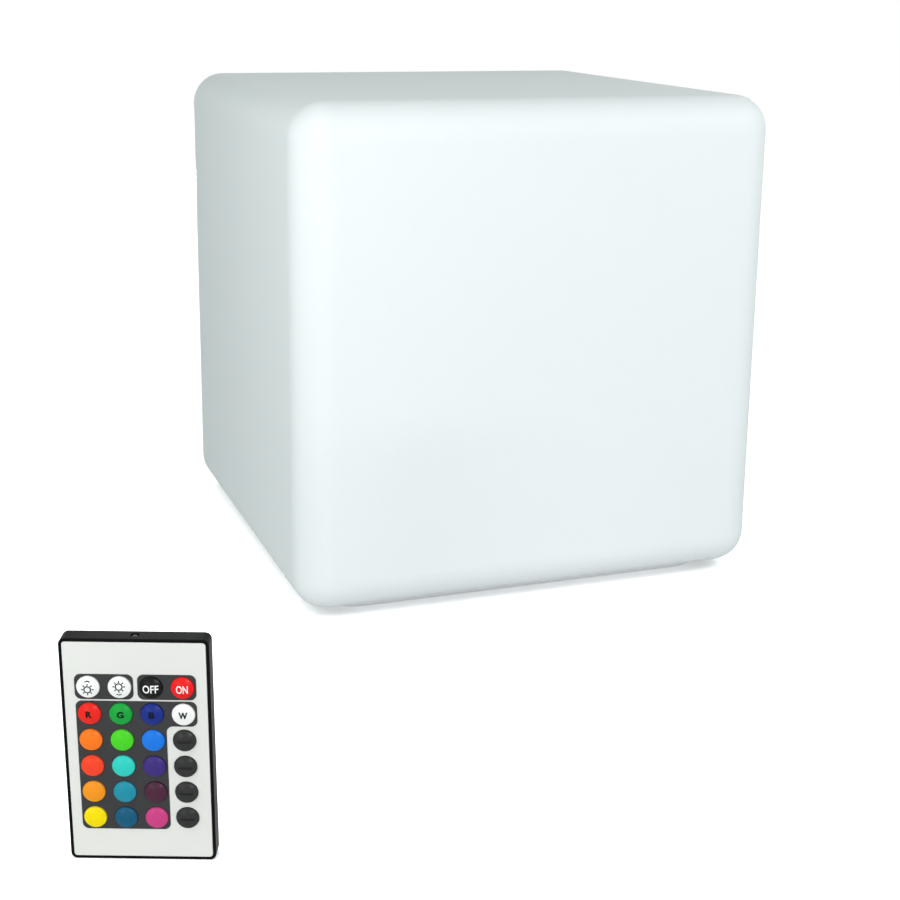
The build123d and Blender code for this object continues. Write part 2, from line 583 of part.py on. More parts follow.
clamp_length = CLAMP_POST_Y[1] - CLAMP_POST_Y[0] + 2 * POST_RADIUS
with BuildPart() as battery_clamp:
    clamp_middle = [(0, (CLAMP_POST_Y[0] + CLAMP_POST_Y[1]) / 2)]
    clamp_top = CLAMP_LOW + CLAMP_THICKNESS
    square_slab(CLAMP_WIDTH, clamp_length, CLAMP_LOW, clamp_top, clamp_middle, corner=CLAMP_CORNER)
    round_slab(pilot_radius + CLEAR_SLIDE, CLAMP_LOW, clamp_top, clamp_post_places, mode=Mode.SUBTRACT)
save(battery_clamp, "battery_clamp")

# ---- Leads ----
lead_height = CELL_Z + CELL_RADIUS * LEAD_SHARE
plug_face_y = header_y + HEADER_DEPTH / 2


def battery_lead(start_y, lane, enter_x):
    """One lead from a cell's strip, along its end, across and into the header. Lanes count outwards."""
    along_x = -(CELL_END + TAB_THICKNESS + CLEAR_WIRE + BATTERY_LEAD_RADIUS + BATTERY_LEAD_PITCH * lane)
    across_y = CELL_FRONT - POST_RADIUS - 2 * CLEAR_PARTS - BATTERY_LEAD_PITCH * lane
    with BuildPart() as lead:
        with BuildLine() as route:
            FilletPolyline(
                (along_x, start_y, lead_height),
                (along_x, across_y, lead_height),
                (enter_x, across_y, lead_height),
                (enter_x, plug_face_y, lead_height),
                radius=BATTERY_LEAD_BEND,
            )
        with BuildSketch(Plane(origin=route.line @ 0, z_dir=route.line % 0)):
            Circle(BATTERY_LEAD_RADIUS)
        sweep()
    return lead.part


lead_places = [
    (LED_HEADER_X + LEAD_PITCH * (i - (LEAD_COUNT - 1) / 2), header_y) for i in range(LEAD_COUNT)
]
half_pitch = LEAD_PITCH / 2
with BuildPart() as internal_leads:
    add(battery_lead(CELL_ROWS_Y[0], 0, BATTERY_HEADER_X + half_pitch))
    add(battery_lead(CELL_ROWS_Y[1], 1, BATTERY_HEADER_X - half_pitch))
    round_slab(LEAD_RADIUS, HEADER_TOP, LED_BOARD_LOW, lead_places)
save(internal_leads, "internal_leads")

# ---- LED board on its plate ----
with BuildPart() as reflector_plate:
    round_slab(PLATE_RADIUS, PLATE_LOW, LED_BOARD_LOW)
    round_slab(pilot_radius + CLEAR_SLIDE, PLATE_LOW, LED_BOARD_LOW, plate_screw_places, mode=Mode.SUBTRACT)
    square_slab(
        LEAD_PITCH * LEAD_COUNT + 2 * LEAD_RADIUS, 4 * LEAD_RADIUS, PLATE_LOW, LED_BOARD_LOW,
        [(LED_HEADER_X, header_y)], mode=Mode.SUBTRACT,
    )
save(reflector_plate, "reflector_plate")

with BuildPart() as led_board:
    round_slab(LED_BOARD_RADIUS, LED_BOARD_LOW, LED_BOARD_TOP)
    round_slab(
        pilot_radius + CLEAR_SLIDE, LED_BOARD_LOW, LED_BOARD_TOP, plate_screw_places, mode=Mode.SUBTRACT,
    )
save(led_board, "led_board")

outer_leds = on_circle(LED_OUTER_RADIUS, LED_OUTER_COUNT, LED_RING_START)
led_places = outer_leds + on_circle(LED_INNER_RADIUS, LED_INNER_COUNT)
led_top = LED_BOARD_TOP + LED_HEIGHT
with BuildPart() as led_chips:
    square_slab(LED_SIZE, LED_SIZE, LED_BOARD_TOP, led_top, led_places)
    round_slab(LED_DISH_RADIUS, led_top - LED_DISH_DEPTH, led_top, led_places, mode=Mode.SUBTRACT)
save(led_chips, "led_chips")

receiver_low = LED_BOARD_TOP + RECEIVER_STAND
receiver_lens_z = receiver_low + RECEIVER_HEIGHT - RECEIVER_LENS - RECEIVER_LEG
with BuildPart() as ir_receiver:
    square_slab(RECEIVER_WIDTH, RECEIVER_DEPTH, receiver_low, receiver_low + RECEIVER_HEIGHT)
    with Locations((0, -RECEIVER_DEPTH / 2, receiver_lens_z)):
        Sphere(RECEIVER_LENS)
    leg_places = [(x * RECEIVER_LEG_PITCH, 0) for x in (-1, 0, 1)]
    square_slab(RECEIVER_LEG, RECEIVER_LEG, LED_BOARD_TOP, receiver_low, leg_places)
save(ir_receiver, "ir_receiver")

# ---- Dome ----
dome_radius = (DOME_BASE**2 + DOME_RISE**2) / (2 * DOME_RISE)
dome_centre_z = DOME_TOP - dome_radius
with BuildPart() as light_dome:
    with Locations((0, 0, dome_centre_z)):
        Sphere(dome_radius)
        Sphere(dome_radius - DOME_WALL, mode=Mode.SUBTRACT)
    round_slab(dome_radius + 1, dome_centre_z - dome_radius - 1, DOME_LOW + DOME_FLANGE, mode=Mode.SUBTRACT)
    ring_slab(CUP_OUTER, DOME_BASE - DOME_WALL, DOME_LOW, DOME_LOW + DOME_FLANGE)
    round_slab(
        pilot_radius + CLEAR_SLIDE, DOME_LOW, DOME_LOW + DOME_FLANGE, dome_screw_places, mode=Mode.SUBTRACT,
    )
save(light_dome, "light_dome")

with BuildPart() as dome_seal:
    ring_slab(CUP_OUTER, CUP_INNER + CLEAR_SEATED, CUP_TOP, DOME_LOW)
    round_slab(SMALL_BOSS_RADIUS + CLEAR_SEATED, CUP_TOP, DOME_LOW, dome_screw_places, mode=Mode.SUBTRACT)
save(dome_seal, "dome_seal")

with BuildPart() as dome_screws:
    small_screws(dome_screw_places, DOME_LOW + DOME_FLANGE)
save(dome_screws, "dome_screws")

with BuildPart() as inner_screws:
    small_screws(board_screw_places, BOARD_TOP)
    small_screws(clamp_post_places, CLAMP_LOW + CLAMP_THICKNESS)
    small_screws(plate_screw_places, LED_BOARD_TOP)
save(inner_screws, "inner_screws")

# ---- Remote: where its keys are, in its own frame ----
column_x = [KEY_PITCH_ACROSS * (i - (KEY_COLUMNS - 1) / 2) for i in range(KEY_COLUMNS)]
row_y = [REMOTE_HEIGHT - KEY_TOP_MARGIN - KEY_PITCH_UP * i for i in range(KEY_ROWS)]
key_places = [(x, y) for y in row_y for x in column_x]
key_names = [
    "key_brighter", "key_dimmer", "key_off", "key_on",
    "key_red", "key_green", "key_blue", "key_white",
    "key_orange", "key_lime", "key_azure", "key_effect_a",
    "key_coral", "key_turquoise", "key_indigo", "key_effect_b",
    "key_amber", "key_teal", "key_plum", "key_effect_c",
    "key_yellow", "key_petrol", "key_pink", "key_effect_d",
]

# ---- Remote: rear case ----
tray_wide = 2 * (TRAY_HALF + TRAY_GAP)
case_post_x = REMOTE_WIDTH / 2 - CASE_WALL - CASE_POST_INSET + CASE_POST
case_post_y = REMOTE_HEIGHT / 2 - CASE_WALL - CASE_POST_INSET + CASE_POST
case_post_places = [
    (x, REMOTE_MIDDLE + y) for x in (-case_post_x, case_post_x) for y in (-case_post_y, case_post_y)
]
board_rail_x = PCB_WIDTH / 2 - PCB_RAIL_WIDTH
board_rail_places = [(x, (PCB_LOW + PCB_HIGH) / 2) for x in (-board_rail_x, board_rail_x)]
tray_rail_x = TRAY_HALF + TRAY_GAP + TRAY_RAIL / 2
tray_stop_y = TRAY_END + TRAY_GAP + TRAY_RAIL / 2
emitter_frame = Plane(
    origin=remote_frame.from_local_coords((0, PCB_HIGH + CLEAR_PARTS / 2, EMITTER_HEIGHT)),
    x_dir=remote_frame.x_dir,
    z_dir=remote_frame.y_dir,
)
emitter_end = REMOTE_HEIGHT - EMITTER_RECESS - PCB_HIGH - CLEAR_PARTS / 2

with BuildPart() as remote_rear_case:
    square_slab(
        REMOTE_WIDTH, REMOTE_HEIGHT, 0, CASE_DEPTH, [(0, REMOTE_MIDDLE)], remote_frame, corner=CASE_CORNER,
    )
    case_ends = remote_rear_case.faces().sort_by(Axis(remote_frame.origin, remote_frame.z_dir))
    chamfer(case_ends[0].edges(), length=CASE_BACK / 2)
    fillet(case_ends[-1].edges(), radius=CASE_SOFTENING)
    square_slab(
        REMOTE_WIDTH - 2 * CASE_WALL, REMOTE_HEIGHT - 2 * CASE_WALL, CASE_BACK, CASE_DEPTH,
        [(0, REMOTE_MIDDLE)], remote_frame, corner=CASE_INNER_CORNER, mode=Mode.SUBTRACT,
    )
    round_slab(CASE_POST, CASE_BACK, FACE_LOW, case_post_places, remote_frame)
    square_slab(PCB_RAIL_WIDTH, PCB_HIGH - PCB_LOW, CASE_BACK, PCB_BACK, board_rail_places, remote_frame)
    square_slab(
        TRAY_RAIL, TRAY_END - CASE_WALL, CASE_BACK, TRAY_TOP,
        [(x, (TRAY_END + CASE_WALL) / 2) for x in (-tray_rail_x, tray_rail_x)], remote_frame,
    )
    square_slab(
        tray_wide + 2 * TRAY_RAIL, TRAY_RAIL, CASE_BACK, TRAY_TOP, [(0, tray_stop_y)], remote_frame,
    )
    square_slab(
        tray_wide, 2 * CASE_WALL, TRAY_LOW - TRAY_GAP, TRAY_TOP + TRAY_GAP, [(0, 0)], remote_frame,
        mode=Mode.SUBTRACT,
    )
    emitter_hole_end = emitter_end + CASE_WALL
    round_slab(EMITTER_RADIUS + CLEAR_SEATED, 0, emitter_hole_end, base=emitter_frame, mode=Mode.SUBTRACT)
    # Cut-out of the back, where a fingernail reaches the tray.
    square_slab(GRIP_WIDTH, 2 * GRIP_REACH, 0, CASE_BACK, MIDDLE, remote_frame, mode=Mode.SUBTRACT)
save(remote_rear_case, "remote_rear_case")

# ---- Remote: face plate and its printed panels ----
with BuildPart() as remote_face_plate:
    square_slab(
        FACE_WIDTH, FACE_HEIGHT, FACE_LOW, CASE_DEPTH, [(0, REMOTE_MIDDLE)], remote_frame,
        corner=CASE_INNER_CORNER,
    )
    plate_ends = remote_face_plate.faces().sort_by(Axis(remote_frame.origin, remote_frame.z_dir))
    fillet(plate_ends[-1].edges(), radius=FACE_SOFTENING)
    round_slab(KEY_HOLE, FACE_LOW, CASE_DEPTH, key_places, remote_frame, mode=Mode.SUBTRACT)
save(remote_face_plate, "remote_face_plate")


def key_block(first_column, last_column, first_row, last_row):
    """A rounded panel outline round a block of keys, in the open sketch."""
    low_x = column_x[first_column] - PANEL_MARGIN
    high_x = column_x[last_column] + PANEL_MARGIN
    low_y = row_y[last_row] - PANEL_MARGIN
    high_y = row_y[first_row] + PANEL_MARGIN
    with Locations(((low_x + high_x) / 2, (low_y + high_y) / 2)):
        RectangleRounded(high_x - low_x, high_y - low_y, PANEL_CORNER)


with BuildPart() as remote_key_panels:
    with BuildSketch(remote_frame.offset(CASE_DEPTH)) as panels:
        key_block(0, 1, 0, 0)
        key_block(2, 3, 0, 0)
        key_block(0, 2, 1, 5)
        key_block(2, 3, 1, 1)
        inner_corner = (column_x[2] + PANEL_MARGIN, row_y[1] - PANEL_MARGIN)
        fillet(panels.vertices().sort_by_distance(inner_corner)[0], radius=PANEL_CORNER)
    extrude(amount=PANEL_THICKNESS)
    round_slab(KEY_HOLE, CASE_DEPTH, PANEL_TOP, key_places, remote_frame, mode=Mode.SUBTRACT)
save(remote_key_panels, "remote_key_panels")

# ---- Remote: mat, circuit board and snap domes ----
mat_width = 2 * (column_x[-1] + KEY_WELL + CLEAR_PARTS)
mat_low = row_y[-1] - KEY_WELL - CLEAR_PARTS
mat_high = row_y[0] + KEY_WELL + CLEAR_PARTS
with BuildPart() as remote_keypad_mat:
    mat_middle = [(0, (mat_low + mat_high) / 2)]
    square_slab(
        mat_width, mat_high - mat_low, MAT_LOW, FACE_LOW, mat_middle, remote_frame, corner=BOARD_CORNER,
    )
    round_slab(KEY_WELL, MAT_LOW, FACE_LOW, key_places, remote_frame, mode=Mode.SUBTRACT)
save(remote_keypad_mat, "remote_keypad_mat")

with BuildPart() as remote_circuit_board:
    pcb_middle = [(0, (PCB_LOW + PCB_HIGH) / 2)]
    square_slab(
        PCB_WIDTH, PCB_HIGH - PCB_LOW, PCB_BACK, MAT_LOW, pcb_middle, remote_frame, corner=BOARD_CORNER,
    )
save(remote_circuit_board, "remote_circuit_board")

with BuildPart() as remote_snap_domes:
    round_slab(SNAP_DOME_RADIUS, MAT_LOW, MAT_LOW + SNAP_DOME_HEIGHT, key_places, remote_frame)
save(remote_snap_domes, "remote_snap_domes")

with BuildPart() as remote_ir_emitter:
    round_slab(EMITTER_RADIUS, 0, emitter_end, base=emitter_frame)
    emitter_ends = remote_ir_emitter.faces().sort_by(Axis(emitter_frame.origin, emitter_frame.z_dir))
    fillet(emitter_ends[-1].edges(), radius=EMITTER_ROUNDING)
save(remote_ir_emitter, "remote_ir_emitter")

# ---- Remote: coin cell, its tray and its contacts ----
coin_at = [(0, TRAY_COIN_V)]
with BuildPart() as remote_battery_tray:
    tray_middle = [(0, (TRAY_END + TRAY_RECESS) / 2)]
    square_slab(2 * TRAY_HALF, TRAY_END - TRAY_RECESS, TRAY_LOW, TRAY_TOP, tray_middle, remote_frame)
    round_slab(
        COIN_RADIUS + COIN_GAP, TRAY_LOW + TRAY_LIP, TRAY_TOP, coin_at, remote_frame, mode=Mode.SUBTRACT,
    )
    round_slab(TRAY_WINDOW, TRAY_LOW, TRAY_LOW + TRAY_LIP, coin_at, remote_frame, mode=Mode.SUBTRACT)
    latch_places = [(x * (TRAY_HALF - TRAY_SIDE), TRAY_END) for x in (-1, 1)]
    square_slab(LATCH_SLOT, COIN_RADIUS, TRAY_LOW, TRAY_TOP, latch_places, remote_frame, mode=Mode.SUBTRACT)
    square_slab(
        GRIP_WIDTH - 2 * NAIL_GROOVE, NAIL_GROOVE, TRAY_LOW, TRAY_LOW + NAIL_GROOVE, [(0, GRIP_REACH / 2)],
        remote_frame, mode=Mode.SUBTRACT,
    )
save(remote_battery_tray, "remote_battery_tray")

with BuildPart() as remote_coin_cell:
    round_slab(COIN_RADIUS, TRAY_LOW + TRAY_LIP, TRAY_TOP, coin_at, remote_frame)
    fillet(remote_coin_cell.edges(), radius=COIN_ROUNDING)
save(remote_coin_cell, "remote_coin_cell")

contact_low = TRAY_TOP + CLEAR_SEATED
contact_x = COIN_RADIUS - CONTACT_WIDTH
with BuildPart() as remote_battery_contacts:
    square_slab(
        CONTACT_WIDTH, CONTACT_LENGTH, contact_low, PCB_BACK,
        [(0, TRAY_COIN_V), (contact_x, TRAY_COIN_V)], remote_frame,
    )
save(remote_battery_contacts, "remote_battery_contacts")

# ---- Remote: the keys ----
key_edge_top = PANEL_TOP + KEY_PROUD
key_tip_low = MAT_LOW + SNAP_DOME_HEIGHT + CLEAR_SEATED + KEY_TRAVEL
key_flange_low = KEY_FLANGE_TOP - KEY_FLANGE_THICKNESS


def make_key(x, y):
    """A round key with a domed top, a collar under the face plate, and a tip for its snap dome."""
    key_frame = Plane(
        origin=remote_frame.from_local_coords((x, y, 0)), x_dir=remote_frame.x_dir, z_dir=-remote_frame.y_dir,
    )
    with BuildPart() as key:
        with BuildSketch(key_frame) as profile:
            with BuildLine():
                Polyline(
                    (0, key_edge_top + KEY_CROWN),
                    (0, key_tip_low),
                    (KEY_TIP, key_tip_low),
                    (KEY_TIP, key_flange_low),
                    (KEY_FLANGE, key_flange_low),
                    (KEY_FLANGE, KEY_FLANGE_TOP),
                    (KEY_RADIUS, KEY_FLANGE_TOP),
                    (KEY_RADIUS, key_edge_top),
                )
                TangentArc((0, key_edge_top + KEY_CROWN), (KEY_RADIUS, key_edge_top), tangent=(1, 0))
            make_face()
            shoulder = (KEY_RADIUS, key_edge_top)
            fillet(profile.vertices().sort_by_distance(shoulder)[0], radius=KEY_SHOULDER)
        revolve(axis=Axis(key_frame.origin, key_frame.y_dir))
    return key


for (place_x, place_y), key_name in zip(key_places, key_names):
    save(make_key(place_x, place_y), key_name)

print(f"cup radius {CUP_INNER:.2f}, flange radius {FLANGE_RADIUS:.2f}, recess radius {RECESS_RADIUS:.2f}")
print(f"housing underside {HOUSING_LOW:.2f}, dome top {DOME_TOP:.2f}")
print(f"remote back at {remote_frame.origin}, board back {PCB_BACK:.2f}, tray top {TRAY_TOP:.2f}")
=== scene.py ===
"""The looks of a rechargeable cube light and of its key remote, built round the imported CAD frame.

Everything is in metres in the frame of the CAD model: +Z is up and the cube's front looks along -Y.
The CAD nodes keep their shapes and get their finishes here. The marks that are printed on the remote's keys
are added.
"""

import json
import logging
import math
from dataclasses import dataclass, field
from enum import Enum
from typing import Iterable, Mapping, Sequence

import bmesh
import bpy
from mathutils import Matrix, Vector


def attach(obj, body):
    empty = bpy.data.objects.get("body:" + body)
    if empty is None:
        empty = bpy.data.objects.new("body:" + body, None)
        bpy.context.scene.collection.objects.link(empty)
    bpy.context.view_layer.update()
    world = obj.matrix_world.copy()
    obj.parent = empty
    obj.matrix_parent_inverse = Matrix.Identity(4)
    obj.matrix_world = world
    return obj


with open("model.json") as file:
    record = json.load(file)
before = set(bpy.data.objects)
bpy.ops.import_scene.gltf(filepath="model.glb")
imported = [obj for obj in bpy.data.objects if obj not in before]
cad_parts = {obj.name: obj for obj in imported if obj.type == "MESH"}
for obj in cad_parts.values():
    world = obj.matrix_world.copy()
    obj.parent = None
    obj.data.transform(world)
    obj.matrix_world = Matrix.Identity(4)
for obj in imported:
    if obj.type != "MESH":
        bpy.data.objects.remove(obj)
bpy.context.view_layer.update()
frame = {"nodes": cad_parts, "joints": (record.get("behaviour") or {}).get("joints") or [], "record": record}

LOG = logging.getLogger("cube_light")
MM = 0.001
WHITE = (1.0, 1.0, 1.0, 1.0)

# Noise: how much of it shows, and the range that most of its values lie in.
CLOUD_RANGE = (0.25, 0.75)
CLOUD_DETAIL = 3.0
CLOUD_ROUGHNESS = 0.6
PATCHES_PER_CLOUD = 3
PATCH_RANGE = (0.3, 0.7)
PATCH_DETAIL = 4.0
GRAIN_DETAIL = 2.0
RIPPLE_DETAIL = 1.0

Point = tuple[float, float]
Colour = tuple[float, float, float]


def linear(hex_colour: str) -> tuple[float, float, float, float]:
    """Turns an sRGB hex colour into the linear colour that Blender's sockets take.

    Args:
        hex_colour: A colour such as "#E8F0F0".

    Returns:
        Red, green, blue and alpha, each from 0 to 1.
    """
    digits = hex_colour.lstrip("#")
    channels = [int(digits[i:i + 2], 16) / 255 for i in (0, 2, 4)]
    red, green, blue = (c / 12.92 if c <= 0.04045 else ((c + 0.055) / 1.055) ** 2.4 for c in channels)
    return red, green, blue, 1.0


def add_node(
    tree: bpy.types.NodeTree, kind: str, inputs: Mapping[str | int, object] | None = None, **settings: object
) -> bpy.types.Node:
    """Adds a node to a tree with its settings, values and links.

    Args:
        tree: The node tree.
        kind: The node's type name.
        inputs: What goes into each socket, by its name or index: another node's output socket, or a value.
        **settings: The node's own properties.

    Returns:
        The new node.
    """
    node = tree.nodes.new(kind)
    for name, value in settings.items():
        setattr(node, name, value)
    for name, value in (inputs or {}).items():
        if isinstance(value, bpy.types.NodeSocket):
            tree.links.new(value, node.inputs[name])
        else:
            node.inputs[name].default_value = value
    return node


# ---- Finishes ----
@dataclass(frozen=True)
class Finish:
    """A surface as it was made: its colour, its gloss, and a relief at its real size."""

    name: str
    colour: str
    roughness: float = 0.45
    ior: float = 1.5
    metallic: float = 0.0
    coat: float = 0.0
    specular: float = 0.5
    tone_shift: float = 0.03
    tone_mm: float = 30.0
    gloss_shift: float = 0.05
    grain_mm: float = 0.35
    grain_depth_mm: float = 0.012
    stretch: tuple[float, float, float] = (1.0, 1.0, 1.0)

    def material(self) -> bpy.types.Material:
        """Makes the material, or finds it if it was made before.

        Returns:
            The material.
        """
        made = bpy.data.materials.get(self.name)
        if made:
            return made
        made = bpy.data.materials.new(self.name)
        made.use_nodes = True
        tree = made.node_tree
        tree.nodes.clear()
        in_metres = add_node(tree, "ShaderNodeTexCoord").outputs["Object"]
        # Patterns are laid out in millimetres.
        place = add_node(
            tree, "ShaderNodeMapping", {"Vector": in_metres, "Scale": [1 / MM] * 3}
        ).outputs["Vector"]
        shader = add_node(tree, "ShaderNodeBsdfPrincipled")
        add_node(tree, "ShaderNodeOutputMaterial", {"Surface": shader.outputs["BSDF"]})
        shader.inputs["IOR"].default_value = self.ior
        shader.inputs["Metallic"].default_value = self.metallic
        shader.inputs["Coat Weight"].default_value = self.coat
        shader.inputs["Specular IOR Level"].default_value = self.specular
        tree.links.new(self.tone(tree, place), shader.inputs["Base Color"])
        tree.links.new(self.gloss(tree, place), shader.inputs["Roughness"])
        tree.links.new(self.relief(tree, place), shader.inputs["Normal"])
        self.special(shader)
        return made

    def tone(self, tree: bpy.types.NodeTree, place: bpy.types.NodeSocket) -> bpy.types.NodeSocket:
        """Lets the colour wander a little over the piece, as moulded and printed surfaces do.

        Args:
            tree: The material's tree.
            place: The place on the piece, in millimetres.

        Returns:
            The colour's socket.
        """
        return self.wander(tree, place, self.colour)

    def wander(
        self, tree: bpy.types.NodeTree, place: bpy.types.NodeSocket, colour: str | bpy.types.NodeSocket
    ) -> bpy.types.NodeSocket:
        """Brightens and darkens a colour slowly over the piece.

        Args:
            tree: The material's tree.
            place: The place on the piece, in millimetres.
            colour: A hex colour, or a socket that gives one.

        Returns:
            The changed colour's socket.
        """
        cloud = add_node(
            tree, "ShaderNodeTexNoise",
            {"Vector": place, "Scale": 1 / self.tone_mm, "Detail": CLOUD_DETAIL,
             "Roughness": CLOUD_ROUGHNESS},
        )
        value = add_node(
            tree, "ShaderNodeMapRange",
            {"Value": cloud.outputs["Fac"], "From Min": CLOUD_RANGE[0], "From Max": CLOUD_RANGE[1],
             "To Min": 1 - self.tone_shift, "To Max": 1.0},
        )
        plain = linear(colour) if isinstance(colour, str) else colour
        changed = add_node(
            tree, "ShaderNodeHueSaturation", {"Color": plain, "Value": value.outputs["Result"]}
        )
        return changed.outputs["Color"]

    def gloss(self, tree: bpy.types.NodeTree, place: bpy.types.NodeSocket) -> bpy.types.NodeSocket:
        """Lets the roughness change a little from place to place.

        Args:
            tree: The material's tree.
            place: The place on the piece, in millimetres.

        Returns:
            The roughness's socket.
        """
        patches = add_node(
            tree, "ShaderNodeTexNoise",
            {"Vector": place, "Scale": PATCHES_PER_CLOUD / self.tone_mm, "Detail": PATCH_DETAIL},
        )
        return add_node(
            tree, "ShaderNodeMapRange",
            {"Value": patches.outputs["Fac"], "From Min": PATCH_RANGE[0], "From Max": PATCH_RANGE[1],
             "To Min": self.roughness - self.gloss_shift, "To Max": self.roughness + self.gloss_shift},
        ).outputs["Result"]

    def relief(self, tree: bpy.types.NodeTree, place: bpy.types.NodeSocket) -> bpy.types.NodeSocket:
        """Gives the surface its fine grain.

        Args:
            tree: The material's tree.
            place: The place on the piece, in millimetres.

        Returns:
            The normal's socket.
        """
        stretched = add_node(
            tree, "ShaderNodeMapping", {"Vector": place, "Scale": [s / self.grain_mm for s in self.stretch]}
        )
        grain = add_node(
            tree, "ShaderNodeTexNoise",
            {"Vector": stretched.outputs["Vector"], "Scale": 1.0, "Detail": GRAIN_DETAIL},
        )
        return self.bump(tree, grain.outputs["Fac"])

    def bump(
        self,
        tree: bpy.types.NodeTree,
        height: bpy.types.NodeSocket,
        under: bpy.types.NodeSocket | None = None,
    ) -> bpy.types.NodeSocket:
        """Turns a height from 0 to 1 into a relief of the finish's own depth.

        Args:
            tree: The material's tree.
            height: The height's socket.
            under: The normal of a coarser relief that this one lies on.

        Returns:
            The normal's socket.
        """
        inputs = {"Height": height, "Strength": 1.0, "Distance": self.grain_depth_mm * MM}
        if under:
            inputs["Normal"] = under
        return add_node(tree, "ShaderNodeBump", inputs).outputs["Normal"]

    def special(self, shader: bpy.types.Node) -> None:
        """Sets what only this kind of finish has, on the shader's own sockets."""


@dataclass(frozen=True)
class Rotomoulded(Finish):
    """Polyethylene powder melted on a hot mould: opal, satin, with a soft ripple under a fine grain."""

    ripple_mm: float = 9.0
    ripple_depth_mm: float = 0.02
    haze: float = 0.1
    haze_mm: float = 3.0

    def relief(self, tree: bpy.types.NodeTree, place: bpy.types.NodeSocket) -> bpy.types.NodeSocket:
        """Lays the fine grain of the mould on the ripple of the melt.

        Args:
            tree: The material's tree.
            place: The place on the piece, in millimetres.

        Returns:
            The normal's socket.
        """
        ripple = add_node(
            tree, "ShaderNodeTexNoise",
            {"Vector": place, "Scale": 1 / self.ripple_mm, "Detail": RIPPLE_DETAIL},
        )
        broad = add_node(
            tree, "ShaderNodeBump",
            {"Height": ripple.outputs["Fac"], "Strength": 1.0, "Distance": self.ripple_depth_mm * MM},
        )
        grain = add_node(
            tree, "ShaderNodeTexNoise",
            {"Vector": place, "Scale": 1 / self.grain_mm, "Detail": GRAIN_DETAIL},
        )
        return self.bump(tree, grain.outputs["Fac"], broad.outputs["Normal"])

    def special(self, shader: bpy.types.Node) -> None:
        """Lets light in under the surface.

        Args:
            shader: The material's shader.
        """
        shader.inputs["Subsurface Weight"].default_value = self.haze
        shader.inputs["Subsurface Radius"].default_value = (1.0, 1.0, 1.0)
        shader.inputs["Subsurface Scale"].default_value = self.haze_mm * MM


@dataclass(frozen=True)
class ClearMoulding(Finish):
    """Clear or tinted plastic that light goes through."""

    clearness: float = 0.9

    def special(self, shader: bpy.types.Node) -> None:
        """Lets light through."""
        shader.inputs["Transmission Weight"].default_value = self.clearness


@dataclass(frozen=True)
class SolderMask(Finish):
    """Laminate under solder mask, with the copper tracks showing as lighter lines under it."""

    track: str = "#2F8A4A"
    track_pitch_mm: float = 2.54
    track_width_mm: float = 0.18
    pitches_per_run: int = 4

    def tone(self, tree: bpy.types.NodeTree, place: bpy.types.NodeSocket) -> bpy.types.NodeSocket:
        """Draws the tracks as the joints of a staggered grid.

        Args:
            tree: The material's tree.
            place: The place on the piece, in millimetres.

        Returns:
            The colour's socket.
        """
        tracks = add_node(
            tree, "ShaderNodeTexBrick",
            {"Vector": place, "Color1": linear(self.colour), "Color2": linear(self.colour),
             "Mortar": linear(self.track), "Scale": 1.0, "Mortar Size": self.track_width_mm,
             "Brick Width": self.pitches_per_run * self.track_pitch_mm, "Row Height": self.track_pitch_mm},
        )
        return self.wander(tree, place, tracks.outputs["Color"])


@dataclass(frozen=True)
class Banded(Finish):
    """A piece whose colour changes along one axis, such as wires side by side or phosphor in a package.

    Each band is the millimetre at which it starts and its colour.
    """

    axis: str = "X"
    bands: tuple[tuple[float, str], ...] = ()
    last_band_mm: float = 1.0

    def tone(self, tree: bpy.types.NodeTree, place: bpy.types.NodeSocket) -> bpy.types.NodeSocket:
        """Picks the colour by the place along the axis.

        Args:
            tree: The material's tree.
            place: The place on the piece, in millimetres.

        Returns:
            The colour's socket.
        """
        along = add_node(tree, "ShaderNodeSeparateXYZ", {"Vector": place}).outputs[self.axis]
        low, high = self.bands[0][0], self.bands[-1][0] + self.last_band_mm
        share = add_node(
            tree, "ShaderNodeMapRange", {"Value": along, "From Min": low, "From Max": high}
        ).outputs["Result"]
        ramp = add_node(tree, "ShaderNodeValToRGB", {"Fac": share})
        ramp.color_ramp.interpolation = "CONSTANT"
        stops = ramp.color_ramp.elements
        while len(stops) < len(self.bands):
            stops.new(0.5)
        for stop, (start, _) in zip(stops, self.bands):
            stop.position = (start - low) / (high - low)
        for stop, (_, colour) in zip(stops, self.bands):
            stop.color = linear(colour)
        return self.wander(tree, place, ramp.outputs["Color"])


# Polyethylene, rotomoulded: opal white with a cool cast, satin, almost without texture.
SHELL = Rotomoulded(
    "rotomoulded_polyethylene", "#EAEEEF", roughness=0.6, ior=1.51, specular=0.35, tone_shift=0.012,
    tone_mm=120, gloss_shift=0.03, grain_mm=0.8, grain_depth_mm=0.006,
)
# ABS from a spark-eroded mould: an even matt grain.
HOUSING = Finish(
    "textured_abs_pale", "#E4E5E4", roughness=0.52, ior=1.53, grain_mm=0.4, grain_depth_mm=0.02,
)
# ABS from a finer mould: grey, a little smoother than what is round it.
BUTTON = Finish("satin_abs_grey", "#9DA1A6", roughness=0.38, ior=1.53, grain_mm=0.3, grain_depth_mm=0.006)
# Silicone, unfilled: milky and soft, with a faint skin.
SILICONE = Rotomoulded(
    "translucent_silicone", "#C3C7C7", roughness=0.5, ior=1.41, haze=0.3, haze_mm=1.5, grain_mm=0.5,
    grain_depth_mm=0.008,
)
# Silicone with pigment: dull and rubbery.
BUNG = Rotomoulded(
    "soft_silicone_grey", "#94979A", roughness=0.55, ior=1.41, haze=0.1, haze_mm=0.8, grain_mm=0.3,
    grain_depth_mm=0.008,
)
